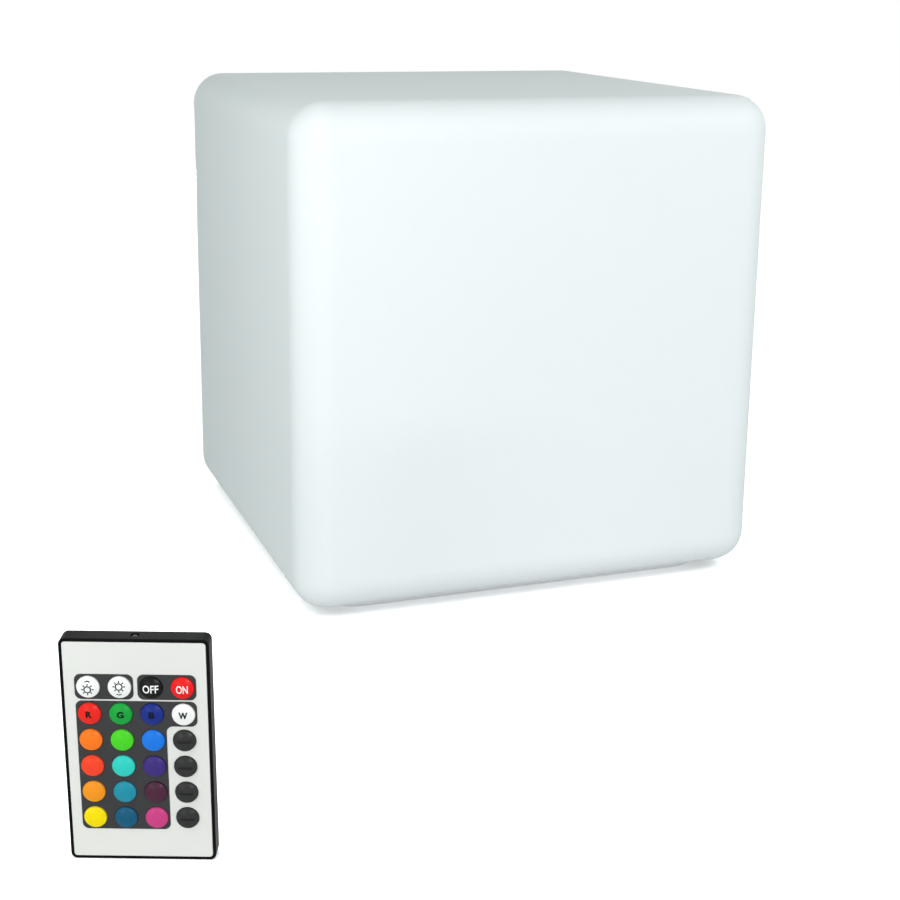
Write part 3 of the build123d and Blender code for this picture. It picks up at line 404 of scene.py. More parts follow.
# Stainless steel, drawn and then tumbled: soft reflections with fine dents along the drawing.
STEEL = Finish(
    "tumbled_stainless_steel", "#C4C5C7", roughness=0.3, metallic=1.0, tone_mm=6, grain_mm=0.25,
    grain_depth_mm=0.004, stretch=(1.0, 1.0, 4.0),
)
# Brass, turned and knurled: yellow, with upright ridges.
BRASS = Finish(
    "knurled_brass", "#D8B56A", roughness=0.28, metallic=1.0, tone_mm=5, grain_mm=0.5, grain_depth_mm=0.05,
    stretch=(1.0, 1.0, 0.1),
)
# Nickel over brass: bright, slightly warm.
NICKEL = Finish(
    "nickel_plate", "#D9D6CE", roughness=0.22, metallic=1.0, tone_mm=8, grain_mm=0.2, grain_depth_mm=0.003,
)
# Nickel strip, rolled: dull lines along its length.
NICKEL_STRIP = Finish(
    "rolled_nickel_strip", "#CBC8C0", roughness=0.34, metallic=1.0, tone_mm=5, grain_mm=0.2,
    grain_depth_mm=0.006, stretch=(1.0, 0.08, 1.0),
)
# Spring steel, stamped: even and grey.
SPRING_STEEL = Finish(
    "sprung_steel", "#C9C9C9", roughness=0.3, metallic=1.0, tone_mm=3, grain_mm=0.15, grain_depth_mm=0.003,
)
# Stainless steel, pressed: a satin grey can.
COIN_STEEL = Finish(
    "pressed_steel_can", "#9C9D9E", roughness=0.42, metallic=1.0, tone_mm=6, grain_mm=0.3,
    grain_depth_mm=0.004,
)
# Nylon from a polished mould: glossy black.
BLACK_MOULDING = Finish(
    "glossy_nylon_black", "#101010", roughness=0.3, ior=1.53, specular=0.35, grain_mm=0.5,
    grain_depth_mm=0.004,
)
# Nylon with glass fibre: dull black with a fine tooth.
SWITCH = Finish("nylon_black", "#2B2B2B", roughness=0.42, ior=1.53, grain_mm=0.3, grain_depth_mm=0.01)
# Acetal, moulded: ivory and slippery.
PLUNGER = Finish("acetal_ivory", "#E6E6E0", roughness=0.3, ior=1.48, grain_mm=0.3, grain_depth_mm=0.004)
# Polycarbonate from a polished mould: clear, with long and weak flow waves.
CLEAR = ClearMoulding(
    "clear_polycarbonate", "#F4F8F8", roughness=0.08, ior=1.585, gloss_shift=0.03, grain_mm=2.0,
    grain_depth_mm=0.004,
)
# Glass laminate under solder mask: green or white, with tracks that show through.
BOARD = SolderMask(
    "green_solder_mask", "#1C6B33", roughness=0.32, ior=1.52, grain_mm=0.6, grain_depth_mm=0.01,
)
WHITE_BOARD = SolderMask(
    "white_solder_mask", "#F1F1EE", roughness=0.35, ior=1.52, grain_mm=0.6, grain_depth_mm=0.01,
    track="#E3E3DC",
)
# Epoxy moulding compound: charcoal, matt and slightly gritty.
COMPONENTS = Finish(
    "epoxy_packages", "#3A3A3A", roughness=0.5, ior=1.55, grain_mm=0.25, grain_depth_mm=0.015,
)
# PVC sleeve, shrunk on: shiny blue film with faint rings where it drew in.
CELL_SLEEVE = Finish(
    "shrunk_pvc_sleeve", "#3E87B4", roughness=0.28, ior=1.54, coat=0.2, grain_mm=1.2, grain_depth_mm=0.02,
    stretch=(0.15, 1.0, 1.0),
)
# ABS, moulded smooth: clean white that throws the light back.
REFLECTOR = Finish("white_abs", "#F0F0EF", roughness=0.4, ior=1.53, grain_mm=0.3, grain_depth_mm=0.006)
# PVC jackets, extruded: smooth, one colour to each wire.
WIRES = Banded(
    "pvc_wire_jackets", "#1A1A1A", roughness=0.36, ior=1.54, grain_mm=0.4, grain_depth_mm=0.005, axis="X",
    bands=((-60.0, "#C21E1E"), (-34.0, "#1B1B1B"), (-22.0, "#C21E1E"), (0.0, "#1B1B1B"), (10.0, "#C21E1E"),
           (12.0, "#1E8A3C"), (14.0, "#2450B4")),
)
# Moulded white packages, filled with yellow phosphor gel at the top.
LED_PACKAGES = Banded(
    "led_packages", "#F3F2EC", roughness=0.3, ior=1.5, grain_mm=0.3, grain_depth_mm=0.005, axis="Z",
    bands=((38.0, "#F3F2EC"), (43.0, "#E9C95A")),
)
# Epoxy, cast with a dark dye: almost black, lets only infrared through.
RECEIVER = ClearMoulding("dark_infrared_epoxy", "#241E24", roughness=0.12, ior=1.55, clearness=0.25)
# Epoxy, cast with a little dye: a smoky violet lens.
EMITTER = ClearMoulding("tinted_epoxy", "#4A4266", roughness=0.08, ior=1.55, clearness=0.6)
# ABS from an etched mould: black with a fine matt grain, as on hand-held remotes.
REMOTE_BLACK = Finish(
    "textured_abs_black", "#080808", roughness=0.42, ior=1.53, specular=0.06, grain_mm=0.3,
    grain_depth_mm=0.012, tone_shift=0.1,
)
# ABS from a smoother mould: a warm, pale satin.
REMOTE_FACE = Finish(
    "satin_abs_warm_grey", "#DFE0DB", roughness=0.4, ior=1.53, grain_mm=0.3, grain_depth_mm=0.005,
    tone_mm=45,
)
# Ink screen-printed on the plate: even and matt, with the mesh's slight tooth.
PANEL_INK = Finish(
    "screen_printed_ink", "#3C3C3D", roughness=0.5, ior=1.5, specular=0.1, grain_mm=0.25,
    grain_depth_mm=0.01, tone_shift=0.06,
)
# Ink pad-printed on the keys: a thin matt film.
DARK_INK = Finish(
    "key_ink_dark", "#0A0A0B", roughness=0.5, ior=1.5, specular=0.1, grain_mm=0.2, grain_depth_mm=0.002,
)
WHITE_INK = Finish(
    "key_ink_white", "#F5F5F3", roughness=0.45, ior=1.5, grain_mm=0.2, grain_depth_mm=0.002,
)
SHADE_INK = Finish(
    "key_ink_shade", "#141413", roughness=0.5, ior=1.5, specular=0.2, grain_mm=0.2, grain_depth_mm=0.002,
)


def key_gloss(name: str, colour: str) -> Finish:
    """A domed key of tinted resin over silicone: clear and glossy with a slight orange peel.

    Args:
        name: The key's colour in words.
        colour: Its hex colour.

    Returns:
        The finish.
    """
    return Finish(
        f"domed_resin_{name}", colour, roughness=0.3, ior=1.5, specular=0.12, tone_mm=6, grain_mm=1.2,
        grain_depth_mm=0.002,
    )


KEY_FINISHES = {
    "key_pale": key_gloss("white", "#F1F2EF"),
    "key_black": key_gloss("black", "#101010"),
    "key_signal_red": key_gloss("signal_red", "#E81C1C"),
    "key_red": key_gloss("red", "#E6261C"),
    "key_green": key_gloss("green", "#14A03C"),
    "key_blue": key_gloss("blue", "#182D84"),
    "key_orange": key_gloss("orange", "#F8781C"),
    "key_lime": key_gloss("lime", "#49D026"),
    "key_azure": key_gloss("azure", "#1B76DE"),
    "key_coral": key_gloss("coral", "#F04427"),
    "key_turquoise": key_gloss("turquoise", "#30CCBE"),
    "key_indigo": key_gloss("indigo", "#3C2C78"),
    "key_amber": key_gloss("amber", "#F0941C"),
    "key_teal": key_gloss("teal", "#1F8CA2"),
    "key_plum": key_gloss("plum", "#4A2439"),
    "key_yellow": key_gloss("yellow", "#F2DA00"),
    "key_petrol": key_gloss("petrol", "#115777"),
    "key_pink": key_gloss("pink", "#C64080"),
    "key_grey": key_gloss("grey", "#303030"),
}

SLOT_FINISHES = {
    "shell_polyethylene": SHELL,
    "insert_brass": BRASS,
    "gasket_silicone": SILICONE,
    "housing_plastic": HOUSING,
    "screw_steel": STEEL,
    "button_plastic": BUTTON,
    "switch_plastic": SWITCH,
    "plunger_plastic": PLUNGER,
    "jack_plastic": BLACK_MOULDING,
    "contact_nickel": NICKEL,
    "bung_silicone": BUNG,
    "clear_plastic": CLEAR,
    "board_laminate": BOARD,
    "component_plastic": COMPONENTS,
    "cell_sleeve": CELL_SLEEVE,
    "nickel_strip": NICKEL_STRIP,
    "wire_insulation": WIRES,
    "reflector_plastic": REFLECTOR,
    "led_board_mask": WHITE_BOARD,
    "led_package": LED_PACKAGES,
    "receiver_epoxy": RECEIVER,
    "remote_black": REMOTE_BLACK,
    "remote_pale": REMOTE_FACE,
    "remote_panel": PANEL_INK,
    "keypad_silicone": SILICONE,
    "snap_dome_steel": SPRING_STEEL,
    "emitter_epoxy": EMITTER,
    "tray_black": REMOTE_BLACK,
    "coin_steel": COIN_STEEL,
} | KEY_FINISHES


def dress(nodes: Iterable[str]) -> None:
    """Gives each CAD node the finish of its slot in the record.

    Args:
        nodes: The nodes' names.
    """
    slots = {part["node"]: part["material_slot"] for part in frame["record"]["subparts"]}
    for name in nodes:
        materials = frame["nodes"][name].data.materials
        materials.clear()
        materials.append(SLOT_FINISHES[slots[name]].material())
        LOG.info("%s: %s", name, materials[0].name)


# ---- Flat marks ----
LETTER_EXTRUSION = 0.01  # at a letter size of 1, before the word is brought to its own size
LETTER_STEPS = 4  # along each curve of a letter
MERGE_MM = 1e-5
MOST_CUTS = 6  # rounds of halving a mark's long edges


def prism(outline: Sequence[Point], low: float, high: float) -> bpy.types.Mesh:
    """Raises a flat outline to a closed solid.

    Args:
        outline: The corners in order, anticlockwise, in millimetres.
        low: Height of its underside.
        high: Height of its top.

    Returns:
        The mesh, in millimetres.
    """
    shape = bmesh.new()
    floor = [shape.verts.new((x, y, low)) for x, y in outline]
    roof = [shape.verts.new((x, y, high)) for x, y in outline]
    shape.faces.new(roof)
    shape.faces.new(list(reversed(floor)))
    for i in range(len(outline)):
        j = (i + 1) % len(outline)
        shape.faces.new((floor[i], floor[j], roof[j], roof[i]))
    mesh = bpy.data.meshes.new("prism")
    shape.to_mesh(mesh)
    shape.free()
    return mesh


def lettering(text: str, cap_height: float, width: float, weight: float, rise: float) -> bpy.types.Mesh:
    """Sets a word in the plain built-in typeface, as a closed solid round the origin.

    Args:
        text: The word.
        cap_height: Height of its capitals, in millimetres.
        width: Width of the word, in millimetres.
        weight: How far the strokes are thickened, as a share of the cap height.
        rise: Half of its thickness, in millimetres.

    Returns:
        The mesh, in millimetres.
    """
    curve = bpy.data.curves.new(f"word_{text}", "FONT")
    curve.body = text
    curve.align_x = "CENTER"
    curve.align_y = "CENTER"
    curve.size = 1.0
    curve.offset = weight
    curve.extrude = LETTER_EXTRUSION
    curve.resolution_u = LETTER_STEPS
    holder = bpy.data.objects.new(f"word_{text}", curve)
    bpy.context.scene.collection.objects.link(holder)
    bpy.context.view_layer.update()
    graph = bpy.context.evaluated_depsgraph_get()
    mesh = bpy.data.meshes.new_from_object(holder.evaluated_get(graph))
    bpy.data.objects.remove(holder)
    bpy.data.curves.remove(curve)
    xs = [v.co.x for v in mesh.vertices]
    ys = [v.co.y for v in mesh.vertices]
    zs = [v.co.z for v in mesh.vertices]
    centre = Vector(((max(xs) + min(xs)) / 2, (max(ys) + min(ys)) / 2, 0))
    stretch = Matrix.Diagonal(
        (width / (max(xs) - min(xs)), cap_height / (max(ys) - min(ys)), 2 * rise / (max(zs) - min(zs)), 1)
    )
    mesh.transform(stretch @ Matrix.Translation(-centre))
    return mesh


def joined(meshes: Sequence[bpy.types.Mesh], name: str) -> bpy.types.Mesh:
    """Puts several meshes into one.

    Args:
        meshes: The meshes, which are removed.
        name: The new mesh's name.

    Returns:
        The mesh.
    """
    shape = bmesh.new()
    for mesh in meshes:
        shape.from_mesh(mesh)
        bpy.data.meshes.remove(mesh)
    made = bpy.data.meshes.new(name)
    shape.to_mesh(made)
    shape.free()
    return made


@dataclass(frozen=True)
class SunMark:
    """The brightness sign: a ring with short rays. All sizes are in millimetres."""

    ring_radius: float = 1.15
    ring_width: float = 0.42
    ray_count: int = 8
    ray_start: float = 1.5
    ray_end: float = 2.15
    ray_width: float = 0.42
    thickness: float = 0.06
    ring_steps: int = 40

    def mesh(self) -> bpy.types.Mesh:
        """Builds the sign with a node tree that sets the rays round the ring.

        Returns:
            The mesh, flat round the origin.
        """
        tree = bpy.data.node_groups.new("sun_mark", "GeometryNodeTree")
        sizes = {
            "Ring Radius": self.ring_radius, "Ring Width": self.ring_width, "Ray Middle": self.middle(),
            "Ray Length": self.ray_end - self.ray_start, "Ray Width": self.ray_width,
            "Thickness": self.thickness,
        }
        for name in sizes:
            tree.interface.new_socket(name, in_out="INPUT", socket_type="NodeSocketFloat")
        tree.interface.new_socket("Ray Count", in_out="INPUT", socket_type="NodeSocketInt")
        tree.interface.new_socket("Ink", in_out="INPUT", socket_type="NodeSocketMaterial")
        tree.interface.new_socket("Geometry", in_out="OUTPUT", socket_type="NodeSocketGeometry")
        given = add_node(tree, "NodeGroupInput").outputs

        circle = add_node(
            tree, "GeometryNodeCurvePrimitiveCircle",
            {"Resolution": self.ring_steps, "Radius": given["Ring Radius"]},
        )
        section = add_node(
            tree, "GeometryNodeCurvePrimitiveQuadrilateral",
            {"Width": given["Ring Width"], "Height": given["Thickness"]},
        )
        ring = add_node(
            tree, "GeometryNodeCurveToMesh",
            {"Curve": circle.outputs["Curve"], "Profile Curve": section.outputs["Curve"]},
        )
        feet = add_node(
            tree, "GeometryNodeMeshCircle", {"Vertices": given["Ray Count"], "Radius": given["Ray Middle"]}
        )
        ray_size = add_node(
            tree, "ShaderNodeCombineXYZ",
            {"X": given["Ray Length"], "Y": given["Ray Width"], "Z": given["Thickness"]},
        )
        ray = add_node(tree, "GeometryNodeMeshCube", {"Size": ray_size.outputs["Vector"]})
        outwards = add_node(
            tree, "FunctionNodeAlignRotationToVector",
            {"Vector": add_node(tree, "GeometryNodeInputPosition").outputs["Position"]}, axis="X",
        )
        rays = add_node(
            tree, "GeometryNodeInstanceOnPoints",
            {"Points": feet.outputs["Mesh"], "Instance": ray.outputs["Mesh"],
             "Rotation": outwards.outputs["Rotation"]},
        )
        both = add_node(tree, "GeometryNodeJoinGeometry")
        tree.links.new(ring.outputs["Mesh"], both.inputs["Geometry"])
        tree.links.new(rays.outputs["Instances"], both.inputs["Geometry"])
        real = add_node(tree, "GeometryNodeRealizeInstances", {"Geometry": both.outputs["Geometry"]})
        inked = add_node(
            tree, "GeometryNodeSetMaterial", {"Geometry": real.outputs["Geometry"], "Material": given["Ink"]}
        )
        add_node(tree, "NodeGroupOutput", {"Geometry": inked.outputs["Geometry"]})
        return self.realised(tree, sizes | {"Ray Count": self.ray_count, "Ink": DARK_INK.material()})

    def middle(self) -> float:
        """Gives the radius at the middle of the rays."""
        return (self.ray_start + self.ray_end) / 2

    @staticmethod
    def realised(tree: bpy.types.NodeTree, values: Mapping[str, object]) -> bpy.types.Mesh:
        """Runs a geometry node tree and keeps its result as a plain mesh.

        Args:
            tree: The tree.
            values: What goes into each of its named inputs.

        Returns:
            The mesh.
        """
        holder = bpy.data.objects.new(tree.name, bpy.data.meshes.new(tree.name))
        bpy.context.scene.collection.objects.link(holder)
        modifier = holder.modifiers.new(tree.name, "NODES")
        modifier.node_group = tree
        for item in tree.interface.items_tree:
            if item.in_out == "INPUT":
                modifier[item.identifier] = values[item.name]
        bpy.context.view_layer.update()
        graph = bpy.context.evaluated_depsgraph_get()
        mesh = bpy.data.meshes.new_from_object(holder.evaluated_get(graph))
        holder.modifiers.clear()
        bpy.data.objects.remove(holder)
        return mesh


class Mark(Enum):
    """What is printed on a key."""

    BRIGHTER = "brighter"
    DIMMER = "dimmer"
    OFF = "OFF"
    ON = "ON"
    RED = "R"
    GREEN = "G"
    BLUE = "B"
    WHITE = "W"
    EFFECT = "effect"


@dataclass
class KeyMarks:
    """The marks that are printed on the domed tops of the remote's keys. Sizes are in millimetres."""

    key_radius: float = 4.03
    crown: float = 0.9
    thickness: float = 0.06
    longest_edge: float = 0.5
    letter_height: float = 2.5
    letter_weight: float = 0.045
    letter_widths: dict[str, float] = field(
        default_factory=lambda: {"R": 2.2, "G": 2.45, "B": 2.15, "W": 3.2}
    )
    word_height: float = 3.0
    word_weight: float = 0.015
    word_widths: dict[str, float] = field(default_factory=lambda: {"OFF": 5.5, "ON": 4.1})
    word_drop: float = 0.25
    sun_drop: float = 0.6
    chevron_distance: float = 2.75
    chevron_half_width: float = 0.9
    chevron_rise: float = 0.35
    chevron_stroke: float = 0.4
    dash_width: float = 5.2
    dash_height: float = 0.95
    dash_drop: float = 0.1
    dash_steps: int = 8

    def place_all(self, marks: Mapping[str, Mark]) -> None:
        """Prints each key's mark.

        Args:
            marks: The mark of each key, by the key's node.
        """
        sun = SunMark().mesh()
        for key, mark in marks.items():
            self.place(key, mark, sun)
        bpy.data.meshes.remove(sun)

    def place(self, key: str, mark: Mark, sun: bpy.types.Mesh) -> None:
        """Prints one key's mark and makes it ride on the key.

        Args:
            key: The key's node, which is also its body.
            mark: What is printed on it.
            sun: The brightness sign, flat round the origin.
        """
        flat, ink, slot = self.flat_mark(mark, sun)
        flat.name = f"mark_{key}"
        self.refine(flat)
        self.lay_on_key(flat, key)
        flat.materials.clear()
        flat.materials.append(ink.material())
        piece = bpy.data.objects.new(f"mark_{key}", flat)
        bpy.context.scene.collection.objects.link(piece)
        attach(piece, key)
        LOG.info("%s: %s, %d faces", piece.name, mark.name, len(flat.polygons))

    def flat_mark(self, mark: Mark, sun: bpy.types.Mesh) -> tuple[bpy.types.Mesh, Finish, str]:
        """Builds a mark flat round the origin.

        Args:
            mark: What is printed.
            sun: The brightness sign.

        Returns:
            The mesh in millimetres, its ink, and the record's slot that the ink is nearest to.
        """
        half = self.thickness / 2
        if mark in (Mark.BRIGHTER, Mark.DIMMER):
            side = 1 if mark is Mark.BRIGHTER else -1
            disc = sun.copy()
            disc.transform(Matrix.Translation((0, -side * self.sun_drop, 0)))
            return joined([disc, self.chevron(side)], "sun"), DARK_INK, "remote_panel"
        if mark in (Mark.OFF, Mark.ON):
            word = lettering(
                mark.value, self.word_height, self.word_widths[mark.value], self.word_weight, half
            )
            word.transform(Matrix.Translation((0, -self.word_drop, 0)))
            return word, WHITE_INK, "key_pale"
        if mark is Mark.EFFECT:
            dash = prism(self.rounded_bar(), -half, half)
            dash.transform(Matrix.Translation((0, -self.dash_drop, 0)))
            return dash, SHADE_INK, "remote_panel"
        letter = lettering(
            mark.value, self.letter_height, self.letter_widths[mark.value], self.letter_weight, half
        )
        return letter, DARK_INK, "remote_panel"

    def chevron(self, side: int) -> bpy.types.Mesh:
        """Builds the small bent stroke beside the sun.

        Args:
            side: 1 for above the sun and bent up, -1 for below it and bent down.

        Returns:
            The mesh.
        """
        outer = self.chevron_distance
        inner = outer - self.chevron_stroke
        outline = [
            (-self.chevron_half_width, inner - self.chevron_rise),
            (0, inner),
            (self.chevron_half_width, inner - self.chevron_rise),
            (self.chevron_half_width, outer - self.chevron_rise),
            (0, outer),
            (-self.chevron_half_width, outer - self.chevron_rise),
        ]
        if side < 0:
            outline = [(x, -y) for x, y in reversed(outline)]
        return prism(outline, -self.thickness / 2, self.thickness / 2)

    def rounded_bar(self) -> list[Point]:
        """Gives the outline of a bar with round ends, anticlockwise."""
        radius = self.dash_height / 2
        reach = self.dash_width / 2 - radius
        outline = []
        for centre, start in ((reach, -90), (-reach, 90)):
            for i in range(self.dash_steps + 1):
                angle = math.radians(start + 180 * i / self.dash_steps)
                outline.append((centre + radius * math.cos(angle), radius * math.sin(angle)))
        return outline

    def refine(self, mesh: bpy.types.Mesh) -> None:
        """Cuts a flat mark finely enough to follow the dome.

        Args:
            mesh: The mark, which is changed.
        """
        shape = bmesh.new()
        shape.from_mesh(mesh)
        bmesh.ops.remove_doubles(shape, verts=shape.verts, dist=MERGE_MM)
        bmesh.ops.triangulate(shape, faces=shape.faces)
        for _ in range(MOST_CUTS):
            long_edges = [e for e in shape.edges if e.calc_length() > self.longest_edge]
            if not long_edges:
                break
            bmesh.ops.subdivide_edges(shape, edges=long_edges, cuts=1)
            bmesh.ops.triangulate(shape, faces=shape.faces)
        bmesh.ops.recalc_face_normals(shape, faces=shape.faces)
        shape.to_mesh(mesh)
        shape.free()

    def lay_on_key(self, mesh: bpy.types.Mesh, key: str) -> None:
        """Wraps a flat mark over the key's dome, half sunk into it.

        Args:
            mesh: The mark, which is changed from millimetres to its place in the frame.
            key: The key's node.
        """
        joint = next(j for j in frame["joints"] if j["child"] == key)
        outwards = -Vector(joint["axis"]).normalized()
        upwards = Vector((0, 0, 1))
        across = upwards.cross(outwards)
        corners = [v.co for v in frame["nodes"][key].data.vertices]
        foot = Vector((0, 0, 0))
        for axis in (across, upwards):
            reach = [corner.dot(axis) for corner in corners]
            foot += axis * (min(reach) + max(reach)) / 2
        apex = max(corner.dot(outwards) for corner in corners)
        sphere = (self.key_radius ** 2 + self.crown ** 2) / (2 * self.crown)
        for vertex in mesh.vertices:
            x, y, rise = vertex.co
            drop = sphere - math.sqrt(sphere ** 2 - x * x - y * y)
            vertex.co = foot + across * x * MM + upwards * y * MM + outwards * (apex + (rise - drop) * MM)
        mesh.update()


# ---- Sub-assemblies ----
@dataclass
class CubeShell:
    """The cube's shell, with the inserts that its light module is screwed to."""

    nodes: tuple[str, ...] = ("cube_shell", "shell_inserts")

    def build(self) -> None:
        """Dresses the shell and its inserts."""
        dress(self.nodes)


@dataclass
class LightModule:
    """The light module in the base: its housing with all that it holds, its button, socket and bung."""

    outside: tuple[str, ...] = (
        "module_gasket", "module_housing", "module_screws", "power_button", "jack_bung", "charge_indicator",
    )
    inside: tuple[str, ...] = (
        "power_switch", "switch_plunger", "charge_jack", "jack_pin", "control_board", "board_components",
        "battery_clamp", "battery_cells", "cell_tabs", "internal_leads", "reflector_plate", "led_board",
        "led_chips", "ir_receiver", "light_dome", "dome_seal", "dome_screws", "inner_screws",
    )

    def build(self) -> None:
        """Dresses the module's outside and inside."""
        dress(self.outside)
        dress(self.inside)


@dataclass
class Remote:
    """The flat key remote: its case, plate, panels, keys and battery tray."""

    marks: dict[str, Mark] = field(default_factory=lambda: {
        "key_brighter": Mark.BRIGHTER, "key_dimmer": Mark.DIMMER, "key_off": Mark.OFF, "key_on": Mark.ON,
        "key_red": Mark.RED, "key_green": Mark.GREEN, "key_blue": Mark.BLUE, "key_white": Mark.WHITE,
        "key_effect_a": Mark.EFFECT, "key_effect_b": Mark.EFFECT, "key_effect_c": Mark.EFFECT,
        "key_effect_d": Mark.EFFECT,
    })

    def build(self) -> None:
        """Dresses the remote's nodes and prints the marks on its keys."""
        dress(name for name in frame["nodes"] if name.startswith(("remote_", "key_")))
        KeyMarks().place_all(self.marks)


# ---- Studio ----
@dataclass(frozen=True)
class Softbox:
    """A soft lamp: its place, its width and height, its watts, its colour and the point that it faces."""

    name: str
    place: tuple[float, float, float]
    size: Point
    watts: float
    colour: Colour = (1.0, 1.0, 1.0)
    target: tuple[float, float, float] = (0.0, 0.0, 0.12)

    def hang(self) -> None:
        """Hangs the lamp, out of the camera's sight."""
        data = bpy.data.lights.new(self.name, "AREA")
        data.shape = "RECTANGLE"
        data.size, data.size_y = self.size
        data.energy = self.watts
        data.color = self.colour
        lamp = bpy.data.objects.new(self.name, data)
        lamp.location = self.place
        towards = Vector(self.target) - Vector(self.place)
        lamp.rotation_euler = towards.to_track_quat("-Z", "Y").to_euler()
        lamp.visible_camera = False
        bpy.context.scene.collection.objects.link(lamp)


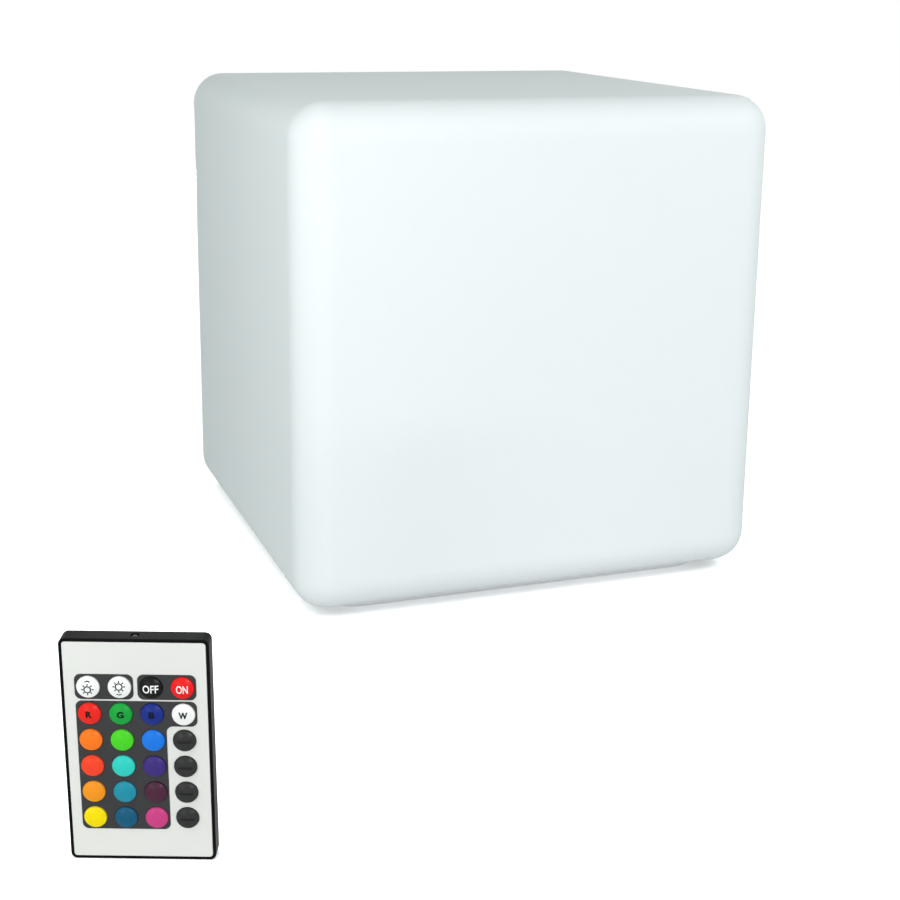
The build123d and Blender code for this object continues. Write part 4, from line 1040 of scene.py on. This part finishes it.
@dataclass
class Studio:
    """The pale floor, the white surroundings, the soft lamps and the camera."""

    floor_half: float = 3.0
    floor_grey: str = "#E3E5E5"
    shadow_gain: float = 0.88
    floor_glow: float = 0.42
    contact_reach: float = 0.01
    contact_open: tuple[float, float] = (0.4, 0.85)
    contact_dark: float = 0.6
    contact_rays: int = 8
    sky_strength: float = 0.44
    sky_colour: Colour = (0.87, 1.0, 0.97)
    # Far in front, far behind, one on each side, and a low strip for the keys' highlights.
    lamps: tuple[Softbox, ...] = (
        Softbox("front_softbox", (-0.28, -1.87, 0.35), (0.3, 0.3), 8.9, (1.0, 0.92, 0.98)),
        Softbox("left_softbox", (-0.45, -0.32, 0.35), (0.3, 0.3), 0.83, (1.0, 1.0, 0.99)),
        Softbox("right_softbox", (0.57, -0.57, 0.7), (0.3, 0.3), 2.4, (1.0, 1.0, 0.99)),
        Softbox("back_softbox", (0.3, 1.8, 0.12), (0.5, 0.2), 4.5, (1.0, 0.98, 0.99)),
        Softbox("key_strip", (-0.85, -0.97, 0.055), (0.24, 0.08), 0.9, target=(-0.23, -0.3, 0.05)),
    )
    camera_place: tuple[float, float, float] = (-0.30087, -0.80811, 0.30328)
    camera_pitch: float = -16.755
    camera_roll: float = -0.718
    camera_yaw: float = -20.234
    lens_mm: float = 62.5
    sensor_mm: float = 36.0

    def build(self) -> None:
        """Sets up the whole studio."""
        self.lay_floor()
        self.light_sky()
        for lamp in self.lamps:
            lamp.hang()
        self.set_camera()
        bpy.context.scene.view_settings.view_transform = "Standard"

    @staticmethod
    def kinds_of_ray(tree: bpy.types.NodeTree) -> tuple[bpy.types.NodeSocket, bpy.types.NodeSocket]:
        """Tells the rays that show a surface from those that light the object.

        Args:
            tree: The tree to add the nodes to.

        Returns:
            A socket that is 1 for rays from the camera, and one that is 1 for rays that come by way of a
            reflection or of clear plastic.
        """
        path = add_node(tree, "ShaderNodeLightPath").outputs
        by_way = add_node(
            tree, "ShaderNodeMath", {0: path["Is Glossy Ray"], 1: path["Is Transmission Ray"]},
            operation="MAXIMUM",
        ).outputs[0]
        return path["Is Camera Ray"], by_way

    def contact_shade(self, tree: bpy.types.NodeTree) -> bpy.types.NodeSocket:
        """Paints a contact shadow: darkens the floor close to where something stands on it.

        Args:
            tree: The floor's tree.

        Returns:
            A socket that is 1 in the open and falls towards the contact.
        """
        openness = add_node(
            tree, "ShaderNodeAmbientOcclusion", {"Distance": self.contact_reach}, samples=self.contact_rays
        ).outputs["AO"]
        return add_node(
            tree, "ShaderNodeMapRange",
            {"Value": openness, "From Min": self.contact_open[0], "From Max": self.contact_open[1],
             "To Min": self.contact_dark, "To Max": 1.0},
        ).outputs["Result"]

    def floor_paper(self) -> bpy.types.Material:
        """Makes the floor's material: the camera sees white paper that keeps its shadows, and a painted
        contact shadow darkens it close to the object.

        Reflections see it as white with the same painted contact shadow, and the light that it throws on the
        object is that of pale paper.

        Returns:
            The material.
        """
        material = bpy.data.materials.new("studio_paper")
        material.use_nodes = True
        tree = material.node_tree
        tree.nodes.clear()
        plain = add_node(tree, "ShaderNodeBsdfDiffuse", {"Color": linear(self.floor_grey)})
        # Painted contact shadow: an occlusion test scales the floor's shown and mirrored brightness down
        # near the objects.
        shade = self.contact_shade(tree)
        gain, strength = (
            add_node(tree, "ShaderNodeMath", {0: shade, 1: factor}, operation="MULTIPLY").outputs[0]
            for factor in (self.shadow_gain, self.floor_glow)
        )
        bright = add_node(tree, "ShaderNodeBsdfDiffuse", {"Color": gain})
        twice = add_node(tree, "ShaderNodeAddShader", {0: bright.outputs[0], 1: bright.outputs[0]})
        glow = add_node(tree, "ShaderNodeEmission", {"Color": WHITE, "Strength": strength})
        shown = add_node(tree, "ShaderNodeAddShader", {0: twice.outputs[0], 1: glow.outputs[0]})
        mirrored = add_node(tree, "ShaderNodeEmission", {"Color": WHITE, "Strength": shade})
        from_camera, by_way = self.kinds_of_ray(tree)
        unseen = add_node(
            tree, "ShaderNodeMixShader", {0: by_way, 1: plain.outputs[0], 2: mirrored.outputs[0]}
        )
        mixed = add_node(
            tree, "ShaderNodeMixShader", {0: from_camera, 1: unseen.outputs[0], 2: shown.outputs[0]}
        )
        add_node(tree, "ShaderNodeOutputMaterial", {"Surface": mixed.outputs[0]})
        return material

    def lay_floor(self) -> None:
        """Lays the floor that the object stands on."""
        mesh = bpy.data.meshes.new("studio_floor")
        s = self.floor_half
        mesh.from_pydata([(-s, -s, 0), (s, -s, 0), (s, s, 0), (-s, s, 0)], [], [(0, 1, 2, 3)])
        mesh.materials.append(self.floor_paper())
        floor = bpy.data.objects.new("studio_floor", mesh)
        bpy.context.scene.collection.objects.link(floor)

    def light_sky(self) -> None:
        """Lights the object evenly from all round, and shows white behind it."""
        world = bpy.data.worlds.new("studio_sky")
        bpy.context.scene.world = world
        world.use_nodes = True
        tree = world.node_tree
        tree.nodes.clear()
        light = add_node(
            tree, "ShaderNodeBackground", {"Color": self.sky_colour + (1.0,), "Strength": self.sky_strength}
        )
        white = add_node(tree, "ShaderNodeBackground", {"Color": WHITE, "Strength": 1.0})
        from_camera, by_way = self.kinds_of_ray(tree)
        either = add_node(
            tree, "ShaderNodeMath", {0: from_camera, 1: by_way}, operation="MAXIMUM"
        ).outputs[0]
        mixed = add_node(tree, "ShaderNodeMixShader", {0: either, 1: light.outputs[0], 2: white.outputs[0]})
        add_node(tree, "ShaderNodeOutputWorld", {"Surface": mixed.outputs[0]})

    def set_camera(self) -> None:
        """Puts the camera at the photograph's viewing angle."""
        turn = (
            Matrix.Rotation(math.radians(self.camera_yaw), 3, "Z")
            @ Matrix.Rotation(math.radians(self.camera_pitch), 3, "X")
            @ Matrix.Rotation(math.radians(self.camera_roll), 3, "Y")
        )
        right, ahead, up = (turn @ Vector(axis) for axis in ((1, 0, 0), (0, 1, 0), (0, 0, 1)))
        data = bpy.data.cameras.new("photo_camera")
        data.sensor_width = self.sensor_mm
        data.lens = self.lens_mm
        camera = bpy.data.objects.new("photo_camera", data)
        facing = Matrix((right, up, -ahead)).transposed().to_4x4()
        camera.matrix_world = Matrix.Translation(self.camera_place) @ facing
        bpy.context.scene.collection.objects.link(camera)
        bpy.context.scene.camera = camera


def main() -> None:
    """Builds the object's sub-assemblies in order, then the studio."""
    logging.basicConfig(level=logging.INFO, format="%(message)s")
    CubeShell().build()
    LightModule().build()
    Remote().build()
    Studio().build()


if __name__ == "__main__":
    main()
